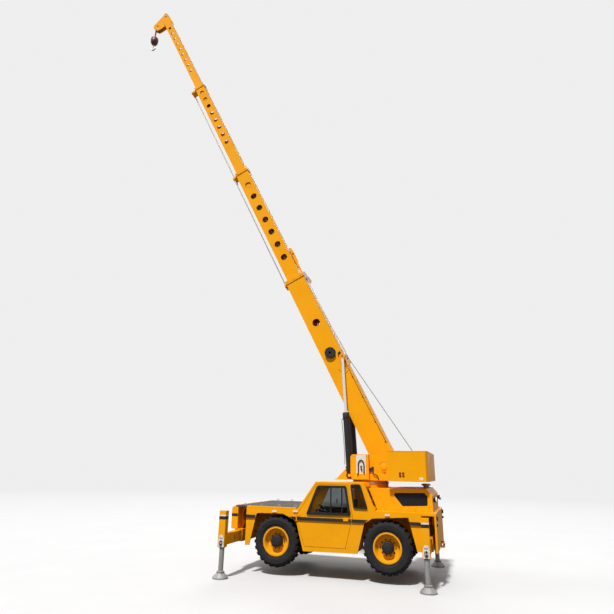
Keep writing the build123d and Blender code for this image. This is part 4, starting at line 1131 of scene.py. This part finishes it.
class CRANE_OT_winch(bpy.types.Operator):
    """Adds the rope on its drum and the rope's run up the boom to the hook"""
    bl_idname = "crane.winch"
    bl_label = "Winch and hoist rope"

    def execute(self, context):
        radius = context.scene.crane_trim.rope
        self.wraps(radius)
        foot, head = GUIDE_ROLLERS
        over_pin = np.linspace(at(-0.6115, 0, 2.651), on_boom(foot[0], 0, foot[1]), 30)
        # The rope over the foot pin runs straight from the winch to the base section's first roller.
        self.blended("hoist_rope_foot", radius, "turret", "boom", over_pin, turned_by=7)
        self.blended("hoist_rope_2", radius, "boom", "section_2", flowing(along_boom(
            head, (5.88, 0.370), (6.1, 0.290), (6.5, 0.276), (8.3, 0.276), (10.0, 0.276), (10.25, 0.296),
            (10.40, 0.296)), 6))
        self.blended("hoist_rope_3", radius, "section_2", "section_3", flowing(along_boom(
            (10.40, 0.296), (10.6, 0.246), (10.9, 0.236), (12.7, 0.236), (14.5, 0.236), (14.75, 0.256),
            (14.89, 0.256)), 6))
        base = Form().tube(flowing(along_boom(foot, (3.3, 0.395), (4.2, 0.365), (5.4, 0.362), head), 5), radius, 8)
        base.piece("hoist_rope_base", "boom", ROPE)
        self.blended("hoist_rope_4", radius, "section_3", "tip", flowing(along_boom(
            (14.89, 0.256), (15.1, 0.212), (15.4, 0.202), (17.0, 0.202), (18.96, 0.202)), 6))
        sheave = on_boom(HEAD_SHEAVE[0], 0, HEAD_SHEAVE[1])
        over_tip = [
            on_boom(18.96, 0, 0.202), sheave + 0.118 * BACK - 0.03 * UP, sheave + 0.084 * BACK + 0.084 * UP,
            sheave + 0.118 * UP, sheave + 0.09 * UP - 0.08 * BACK, on_boom(19.30, 0.0, -0.30), LINE + (0, 0, 0.03),
            LINE - (0, 0, 0.05),
        ]
        Form().tube(flowing(over_tip, 8), radius, 8).piece("hoist_rope_tip", "tip", ROPE)
        falls = Form()
        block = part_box("hook_block")[1].z
        for y in (-0.028, 0.0, 0.028):
            foot = np.array((LINE[0], y, block - 0.04))
            falls.tube([LINE + (0, y * 0.7, -0.02), LINE + (0, y, -0.25), foot], radius * 1.15, 8)
        falls.piece("hook_falls", "hook", ROPE)
        return {"FINISHED"}

    def wraps(self, radius):
        """The rope on its drum: each turn is a ripple in the spun profile, the square root of a sine."""
        turns = int(2 * DRUM_HALF / (2.05 * radius))
        along = np.linspace(-DRUM_HALF, DRUM_HALF, turns * 6 + 1)
        ripple = np.abs(np.sin(np.pi * turns * (along + DRUM_HALF) / (2 * DRUM_HALF))) ** 0.5
        profile = np.stack([DRUM_RADIUS + 2 * radius * ripple, along], 1)
        ends = (DRUM_RADIUS - 0.003, -DRUM_HALF - 0.002), (DRUM_RADIUS - 0.003, DRUM_HALF + 0.002)
        wraps = Form().turned(np.vstack([ends[0], profile, ends[1]]), at(-0.52, 0, 2.59), Y, 40)
        wraps.piece("drum_rope", "turret", ROPE, smooth=60)

    def blended(self, name, radius, near, far, path, turned_by=-1):
        """A run of rope along its path, a piece of its own that rides on no body."""
        rope = Form().tube(path, radius, 8).piece(name, None, ROPE)
        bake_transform(rope)


LIFT_PLANE = 0.335  # each lift cylinder's distance from the centre plane
GLAND_AT = 1.533  # the barrel's open end, from its foot pin
GLAND = (
    (0.0805, -0.13), (0.090, -0.125), (0.090, -0.015), (0.080, 0.0), (0.060, 0.006), (0.0385, 0.008), (0.0385, -0.13),
)
CYLINDER_PIPE = ((1.38, 0.10), (1.33, 0.12), (0.9, 0.105), (0.45, 0.105), (0.26, 0.115))
ROD_EYE = (
    (0.0755, -0.037), (0.0775, -0.037), (0.0775, 0.037), (0.0755, 0.037), (0.0385, 0.0375), (0.0385, 0.0362),
    (0.0752, 0.0362), (0.0752, -0.0362), (0.0385, -0.0362), (0.0385, -0.0375),
)


class CRANE_OT_cylinders(bpy.types.Operator):
    """Adds the lift cylinders' glands, ports, pipes and rod eyes"""
    bl_idname = "crane.cylinders"
    bl_label = "Lift cylinders"

    def execute(self, context):
        glands, pipes, eyes = Form(), Form(), Form()
        out = -unit(np.cross(LIFT, Y))
        for sign in SIDES:
            foot = FOOT + sign * LIFT_PLANE * Y
            glands.turned(GLAND, foot + GLAND_AT * LIFT, LIFT, 40, ring=True)
            nut = Form().nut(foot + (GLAND_AT - 0.004) * LIFT, LIFT, 0.007, 0.008)
            glands.repeated(nut, circle(8, -out, Y) * 0.072)
            glands.turned([(0.0805, 0.10), (0.086, 0.105), (0.086, 0.15), (0.0805, 0.155)], foot, LIFT, 40, ring=True)
            for along in (0.20, 1.38):
                glands.bar(foot + along * LIFT + 0.07 * out, out, 0.018, 0.032, 14)
            pipes.tube(flowing([foot + along * LIFT + away * out for along, away in CYLINDER_PIPE]), 0.009, 10)
            eyes.turned(ROD_EYE, on_boom(2.985, sign * LIFT_PLANE, 0.296), Y, 36, ring=True)
        eyes.piece("rod_eye_paint", "lift_rods", PAINT)
        glands.piece("cylinder_glands", "lift_barrels", IRON, bevel=0.0015)
        pipes.piece("cylinder_pipes", "lift_barrels", STEEL)
        return {"FINISHED"}


BOOM_AXIS = 0.049  # the sections' middle above the foot pin's line
# Each section's half width and half height outside, its head's distance up the boom, and the half
# width and half height inside it.
SECTIONS = {
    "boom": (0.230, 0.302, 5.871, 0.184, 0.219), "section_2": (0.198, 0.233, 10.370, 0.155, 0.179),
    "section_3": (0.169, 0.193, 14.870, 0.127, 0.145),
}
# Each section's lightening holes: the first one's distance up the boom, their pitch, number and
# radius, the side plate's distance from the middle, and their height above the foot pin's line.
HOLES = {
    "boom": (4.262, 1.0, 1, 0.110, 0.210, 0.058), "section_2": (6.658, 0.508, 7, 0.098, 0.178, 0.060),
    "section_3": (11.817, 0.383, 8, 0.075, 0.149, 0.052), "tip": (15.842, 0.343, 9, 0.054, 0.121, 0.040),
}
PAD = 0.0015  # how far a wear pad's edge stands out of a head


class CRANE_OT_boom(bpy.types.Operator):
    """Adds the heads' pads and bolts, the hole rims, the hose reel, and the hoses, rollers and brackets of the boom"""
    bl_idname = "crane.boom"
    bl_label = "Boom detail"

    def execute(self, context):
        for body, sizes in SECTIONS.items():
            self.head(body, *sizes)
        half_w, half_h, head = SECTIONS["boom"][:3]
        welds = Form()
        for sign in SIDES:
            for n in (BOOM_AXIS - half_h + 0.02, BOOM_AXIS + half_h - 0.02):
                welds.tube([on_boom(t, sign * (half_w - 0.0205), n) for t in (0.3, head - 0.11)], 0.004, 6)
        welds.piece("boom_welds", "boom", PAINT)
        for body, holes in HOLES.items():
            self.rims(body, *holes)
        self.reel()
        self.hose()
        self.rollers()
        self.brackets()
        return {"FINISHED"}

    def head(self, body, half_w, half_h, head, in_w, in_h):
        """The ends of the wear pads in a section's open head, and the bolts round its collar."""
        pads, bolts = Form(), Form()
        for sign in SIDES:
            for n in (BOOM_AXIS + in_h - 0.03, BOOM_AXIS - in_h + 0.03):
                pads.plate(soft_oblong(0.032, 0.05, 0.008), on_boom(head, sign * (in_w + 0.020), n), Y, BACK, PAD)
            for share in (-0.7, 0, 0.7):
                place = on_boom(head - 0.055, sign * half_w, BOOM_AXIS + share * half_h)
                bolts.nut(place, sign * Y, 0.012, 0.012)
        for share in (-0.6, 0, 0.6):
            bolts.nut(on_boom(head - 0.055, share * half_w, BOOM_AXIS + half_h), BACK, 0.012, 0.012)
        for n in (BOOM_AXIS + in_h + 0.012, BOOM_AXIS - in_h - 0.012):
            pads.plate(soft_oblong(in_w * 1.3, 0.016, 0.004), on_boom(head, 0, n), Y, BACK, PAD)
        pads.piece(f"wear_pads_{body}", body, PLASTIC)
        bolts.piece(f"head_bolts_{body}", body, BOLTS)

    def rims(self, body, first, pitch, count, radius, face, n):
        """A rolled rim round each lightening hole in the side plates."""
        rims = Form()
        roll = [(radius, -0.004), (radius + 0.004, 0.0035), (radius + 0.009, 0.0035), (radius + 0.012, -0.002)]
        for sign in SIDES:
            one = Form().turned(roll, np.zeros(3), sign * Y, 28, ring=True)
            rims.repeated(one, [on_boom(first + pitch * index, sign * face, n) for index in range(count)])
        rims.piece(f"hole_rims_{body}", body, PAINT, smooth=60)

    def reel(self):
        """The hose reel: two flanges with a coil of hose between, each turn a ripple in the spun profile."""
        lo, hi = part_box("hose_reel")
        width = hi.y - lo.y
        centre = on_boom(3.27, lo.y, 0.035)
        reel = Form()
        for start in (0.0, width - 0.006):
            flange = [(0.0, 0.0), (0.149, 0.0), (0.150, 0.003), (0.149, 0.006), (0.0, 0.006)]
            reel.turned(flange, centre + start * Y, Y, 48)
        reel.turned([(0.0, width), (0.03, width), (0.034, width - 0.002)], centre, Y, 24)
        reel.repeated(Form().nut(centre + (width - 0.001) * Y, Y, 0.008, 0.004), circle(6, UP, BACK) * 0.06)
        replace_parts(reel.piece("reel_flanges", "boom", IRON, bevel=0.001), "hose_reel")
        along = np.linspace(0.008, width - 0.008, 4 * 6 + 1)
        ripple = 0.118 + 0.012 * np.abs(np.sin(np.pi * (along - 0.008) / 0.0135)) ** 0.6
        coil = np.vstack([(0.03, along[0]), np.stack([ripple, along], 1), (0.03, along[-1])])
        Form().turned(coil, centre, Y, 48).piece("reel_hose", "boom", RUBBER, smooth=60)

    def hose(self):
        """The pale hose along the boom's back edge, held by a saddle and a strap at each clip."""
        run = along_boom((0.33, 0.342), (2.0, 0.345), (4.0, 0.345), (5.74, 0.345), y=0.185)
        pale, clips = Form().tube(flowing(run, 4), 0.012, 10), Form()
        strap = ((-0.02, 0.334), (-0.017, 0.355), (0, 0.3625), (0.017, 0.355), (0.02, 0.334))
        for t in np.arange(0.8, 5.6, 0.48):
            clips.plate(oblong(0.05, 0.07), on_boom(t, 0.185, 0.331), UP, Y, -0.003)
            clips.tube([on_boom(t, 0.185 + y, n) for y, n in strap], 0.004, 6)
        pale.piece("boom_hose", "boom", ("pale_hose", "grey_steel"))
        clips.piece("hose_clips", "boom", BOLTS)

    def rollers(self):
        """The rope's two rollers on the base section, and the arm that carries it past the head."""
        guide, carrier = Form(), Form()
        roller = [
            (0.0, -0.05), (0.018, -0.05), (0.022, -0.045), (0.018, 0.0), (0.022, 0.045), (0.018, 0.05), (0.0, 0.05),
        ]
        for t, _ in GUIDE_ROLLERS:
            for y in (-0.058, 0.05):
                guide.plate(soft_oblong(0.12, 0.07, 0.015), on_boom(t, y, 0.366), UP, -BACK, 0.008)
            guide.turned(roller, on_boom(t, 0, 0.352), Y, 20)
        guide.piece("rope_guides", "boom", STEEL, bevel=0.002)
        arm = [(-0.86, 0.032), (0.25, 0.030), (0.22, 0.105), (-0.22, 0.105), (-0.30, 0.075), (-0.86, 0.075)]
        for y in (-0.06, 0.06):
            carrier.plate(rounded(arm, 0.012), on_boom(6.66, y, 0.262), UP, BACK, 0.008)
        carrier.turned([(0.0, -0.06), (0.03, -0.06), (0.03, 0.06), (0.0, 0.06)], on_boom(6.66, 0, 0.337), Y, 20)
        carrier.piece("rope_carrier", "boom", PAINT, bevel=0.002)

    def brackets(self):
        """The webs on the base section's head, and the holding valve with a thin dark tube and clips; the tube stands
        for a dark line under the top plate's edge, partly a weld seam and partly painted shade.
        """
        webs, valve = Form(), Form()
        for y in (0.205, -0.205):
            web = rounded([(-0.26, 0), (0.0, 0), (0.0, 0.07), (-0.20, 0.09)], 0.012)
            webs.plate(web, on_boom(5.871, y, 0.351), UP, BACK, 0.008)
        webs.piece("head_bracket", "boom", ("pale_primer", "grey_steel"), bevel=0.002)
        valve_at = on_boom(3.12, 0.2, 0.244)
        valve.brick(valve_at + (-0.035, 0, -0.05), valve_at + (0.035, 0.05, 0.05))
        valve.bar(valve_at + (0, 0.025, 0.05), Z, 0.014, 0.03, 12)
        # The dark tube follows a thin dark line under the top plate's edge: partly a weld seam, partly painted shade.
        shade_line = along_boom((3.06, 0.24), (2.9, 0.285), (2.48, 0.290), (1.3, 0.290), (0.5, 0.300), y=0.222)
        valve.tube(flowing(shade_line, 5), 0.0045, 8)
        for t in (2.4, 1.816, 1.1, 0.55):
            valve.brick(on_boom(t, 0.208, 0.285) + (-0.012, 0, -0.012), on_boom(t, 0.230, 0.285) + (0.012, 0, 0.012))
        valve.piece("holding_valve", "boom", IRON, bevel=0.002)


# From a sheave's face in to its groove: radius and distance from its middle.
SHEAVE_HALF = (
    (0.0, 0.03), (0.035, 0.03), (0.040, 0.022), (0.085, 0.020), (0.092, 0.028), (0.120, 0.028), (0.120, 0.020),
    (0.104, 0.009),
)


class CRANE_OT_tip(bpy.types.Operator):
    """Adds the grooved sheaves, their pins and the rope keepers"""
    bl_idname = "crane.tip"
    bl_label = "Boom tip"

    def execute(self, context):
        sheaves, keepers = Form(), Form()
        groove = [(r, -w) for r, w in SHEAVE_HALF] + [(0.100, 0.0)] + list(SHEAVE_HALF[::-1])
        for t, n in (HEAD_SHEAVE, LOWER_SHEAVE):
            centre = on_boom(t, 0, n)
            sheaves.turned(groove, centre, Y, 48)
            sheaves.bar(centre - 0.084 * Y, Y, 0.025, 0.168)
            for sign in SIDES:
                sheaves.brick(centre + (-0.04, sign * 0.0805, -0.018), centre + (0.04, sign * 0.0865, 0.018))
        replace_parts(sheaves.piece("rope_sheaves", "tip", IRON, smooth=30), "tip_sheaves")
        for t, n in ((19.50, 0.16), (19.33, 0.20), (19.05, -0.45), (19.28, -0.45), (19.0, 0.14)):
            keepers.bar(on_boom(t, -0.064, n), Y, 0.010, 0.128, 14)
            for sign in SIDES:
                keepers.nut(on_boom(t, sign * 0.080, n), sign * Y, 0.014, 0.012)
        keepers.piece("rope_keepers", "tip", BOLTS)
        return {"FINISHED"}


# The hook's weight: radius and share of its height, for its bright upper half in the hook's red and its dark lower
# half, whose darker red is painted shade.
BALL_TOP = (
    (0.0, 1.0), (0.030, 1.0), (0.034, 0.985), (0.034, 0.90), (0.060, 0.87), (0.105, 0.82), (0.138, 0.74),
    (0.150, 0.64), (0.150, 0.56), (0.148, 0.52), (0.0, 0.52),
)
BALL_BOTTOM = (
    (0.0, 0.515), (0.146, 0.515), (0.146, 0.49), (0.150, 0.47), (0.149, 0.38), (0.135, 0.27), (0.105, 0.16),
    (0.070, 0.08), (0.046, 0.05), (0.044, 0.0), (0.0, 0.0),
)
# The forged hook: the bowl's angles in degrees, and its thickness at shares of the way to the point.
BOWL = (100, 125, 155, 185, 215, 245, 275, 305, 335, 358, 378)
BOWL_SHARES, BOWL_SIZES = (0, 0.2, 0.4, 0.6, 0.75, 0.92, 1.0), (0.024, 0.022, 0.023, 0.024, 0.022, 0.017, 0.006)


class CRANE_OT_hook(bpy.types.Operator):
    """Adds the hook's round weight and the forged hook with its latch"""
    bl_idname = "crane.hook"
    bl_label = "Hook block and hook"

    def execute(self, context):
        lo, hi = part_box("hook_block")
        foot = np.array(((lo.x + hi.x) / 2, 0, lo.z))

        def half(name, profile, look):
            """One half of the weight, spun about its upright axis."""
            spun = Form().turned([(r, share * (hi.z - lo.z)) for r, share in profile], foot, Z, 56)
            return spun.piece(name, "hook", look, smooth=50)

        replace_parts(half("hook_ball_top", BALL_TOP, ("hook_red", "hook_red")), "hook_block")
        # The lower half's darker red is painted shade.
        half("hook_ball_bottom", BALL_BOTTOM, ("dark_red", "hook_red"))
        self.forged(foot)
        return {"FINISHED"}

    def forged(self, foot):
        """A forged hook: a tube along its bowl whose radius swells at the back and tapers to the
        point, with a shank, a nut and a sprung latch."""
        eye = foot - (0, 0, 0.16)
        turn = np.radians(BOWL)[:, None]
        bowl = eye + np.linspace(0.080, 0.088, len(turn))[:, None] * (np.cos(turn) * X + np.sin(turn) * Z)
        shank = foot + [(0, 0, 0.005), (0, 0, -0.03), (-0.004, 0, -0.062)]
        path = flowing(np.vstack([shank, bowl]), 5)
        hook = Form().tube(path, np.interp(np.linspace(0, 1, len(path)), BOWL_SHARES, BOWL_SIZES), 18)
        nut = [(0.0, 0.012), (0.036, 0.010), (0.040, 0.0), (0.040, -0.022), (0.034, -0.028), (0.0, -0.028)]
        hook.turned(nut, foot - (0, 0, 0.006), Z, 6)
        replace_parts(hook.piece("forged_hook", "hook", BOLTS, smooth=50), "load_hook")
        latch = Form().tube(eye + [(-0.004, 0, 0.085), (0.03, 0, 0.06), (0.072, 0, 0.018)], 0.005, 8)
        spring = [(-0.016, -0.02, 0.088), (0.0, -0.02, 0.088), (0.0, 0.02, 0.088), (-0.016, 0.02, 0.088)]
        latch.tube(eye + spring, 0.004, 6).piece("hook_latch", "hook", STEEL)


class CRANE_OT_underbody(bpy.types.Operator):
    """Adds the hoses in the bays and along the frame, the drive line, the axles' bolts and the tow pin and ring"""
    bl_idname = "crane.underbody"
    bl_label = "Chassis detail"

    def execute(self, context):
        hose = context.scene.crane_trim.hose
        rubber, metal = Form(), Form()
        for sign in SIDES:
            for index in range(3):
                for x, top, low in ((3.46, 1.36, 0.93), (-0.95, 1.38, 0.975)):
                    x += 0.035 * index
                    drop = places(
                        (x, sign * 0.86, top), (x + 0.02, sign * (0.87 + 0.01 * index), top - 0.15),
                        (x - 0.02, sign * 0.86, top - 0.3), (x + 0.03, sign * 0.87, low))
                    rubber.tube(flowing(drop), hose, 10)
            rail = ((3.2, 0.25, 0.89), (1.6, 0.24, 0.885), (0.2, 0.25, 0.89), (-0.7, 0.24, 0.9))
            rubber.tube(flowing(places(*((x, sign * y, z) for x, y, z in rail))), hose, 8)
        for axle, near, end in ((0.18, 1.1, 1.15), (2.405, 1.5, 1.45)):
            metal.tube(places((axle, 0, 0.72), (near, 0, 0.80), (end, 0, 0.805)), 0.035, 16)
        metal.brick(at(1.12, -0.16, 0.70), at(1.48, 0.16, 0.96))
        for x in (0.0, 2.585):
            for sign in SIDES:
                metal.repeated(Form().nut(at(x, sign * 0.09, 0.717), sign * Y, 0.01, 0.012), circle(12) * 0.155)
        rubber.piece("chassis_hoses", "chassis", RUBBER)
        metal.piece("drive_line", "chassis", IRON, bevel=0.004)
        self.towing()
        return {"FINISHED"}

    def towing(self):
        """The tow pin with its handle, and the tow ring: a tube round a circle."""
        rear = np.array((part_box("rear_plate")[0].x, 0, 0))
        pin = Form().bar(rear + (0.035, 0, 0.645), Z, 0.0155, 0.14, 16)
        pin.turned([(0.0, 0.0), (0.026, 0.0), (0.026, 0.014), (0.0, 0.018)], rear + (0.035, 0, 0.783), Z, 16)
        handle = [(0.035, 0, 0.80), (0.035, 0.03, 0.83), (0.035, 0, 0.86), (0.035, -0.03, 0.83), (0.035, 0, 0.80)]
        pin.tube(flowing(rear + handle), 0.005, 8)
        pin.piece("tow_pin", "chassis", BOLTS)
        turn = np.linspace(0, ROUND, 28)[:, None]
        ring = rear + (0.063, 0, 0.725) + 0.047 * (np.cos(turn) * X + np.sin(turn) * Z)
        Form().tube(ring, 0.014, 12).piece("tow_ring", "chassis", IRON)


PIECES = (
    CRANE_OT_finishes, CRANE_OT_stripes, CRANE_OT_tyres, CRANE_OT_deck, CRANE_OT_cab, CRANE_OT_seat,
    CRANE_OT_hood, CRANE_OT_lamps, CRANE_OT_outriggers, CRANE_OT_turret, CRANE_OT_winch, CRANE_OT_cylinders,
    CRANE_OT_boom, CRANE_OT_tip, CRANE_OT_hook, CRANE_OT_underbody, CRANE_OT_stage,
)


class CRANE_PT_panel(bpy.types.Panel):
    """Lists the crane's sizes, colours and pieces"""
    bl_idname = "CRANE_PT_panel"
    bl_label = "Carry-deck crane"
    bl_space_type = "VIEW_3D"
    bl_region_type = "UI"
    bl_category = "Crane"

    def draw(self, context):
        for group in (context.scene.crane_paint, context.scene.crane_trim, context.scene.crane_stage):
            for name in type(group).__annotations__:
                self.layout.prop(group, name)
        for operator in PIECES:
            self.layout.operator(operator.bl_idname)


CLASSES = (CranePaint, CraneTrim, CraneStage, *PIECES, CRANE_PT_panel)


def register():
    for item in CLASSES:
        bpy.utils.register_class(item)
    bpy.types.Scene.crane_paint = PointerProperty(type=CranePaint)
    bpy.types.Scene.crane_trim = PointerProperty(type=CraneTrim)
    bpy.types.Scene.crane_stage = PointerProperty(type=CraneStage)


def unregister():
    del bpy.types.Scene.crane_paint, bpy.types.Scene.crane_trim, bpy.types.Scene.crane_stage
    for item in reversed(CLASSES):
        bpy.utils.unregister_class(item)


def main():
    register()
    for operator in PIECES:
        getattr(bpy.ops.crane, operator.bl_idname.split(".")[1])()


if __name__ == "__main__":
    main()
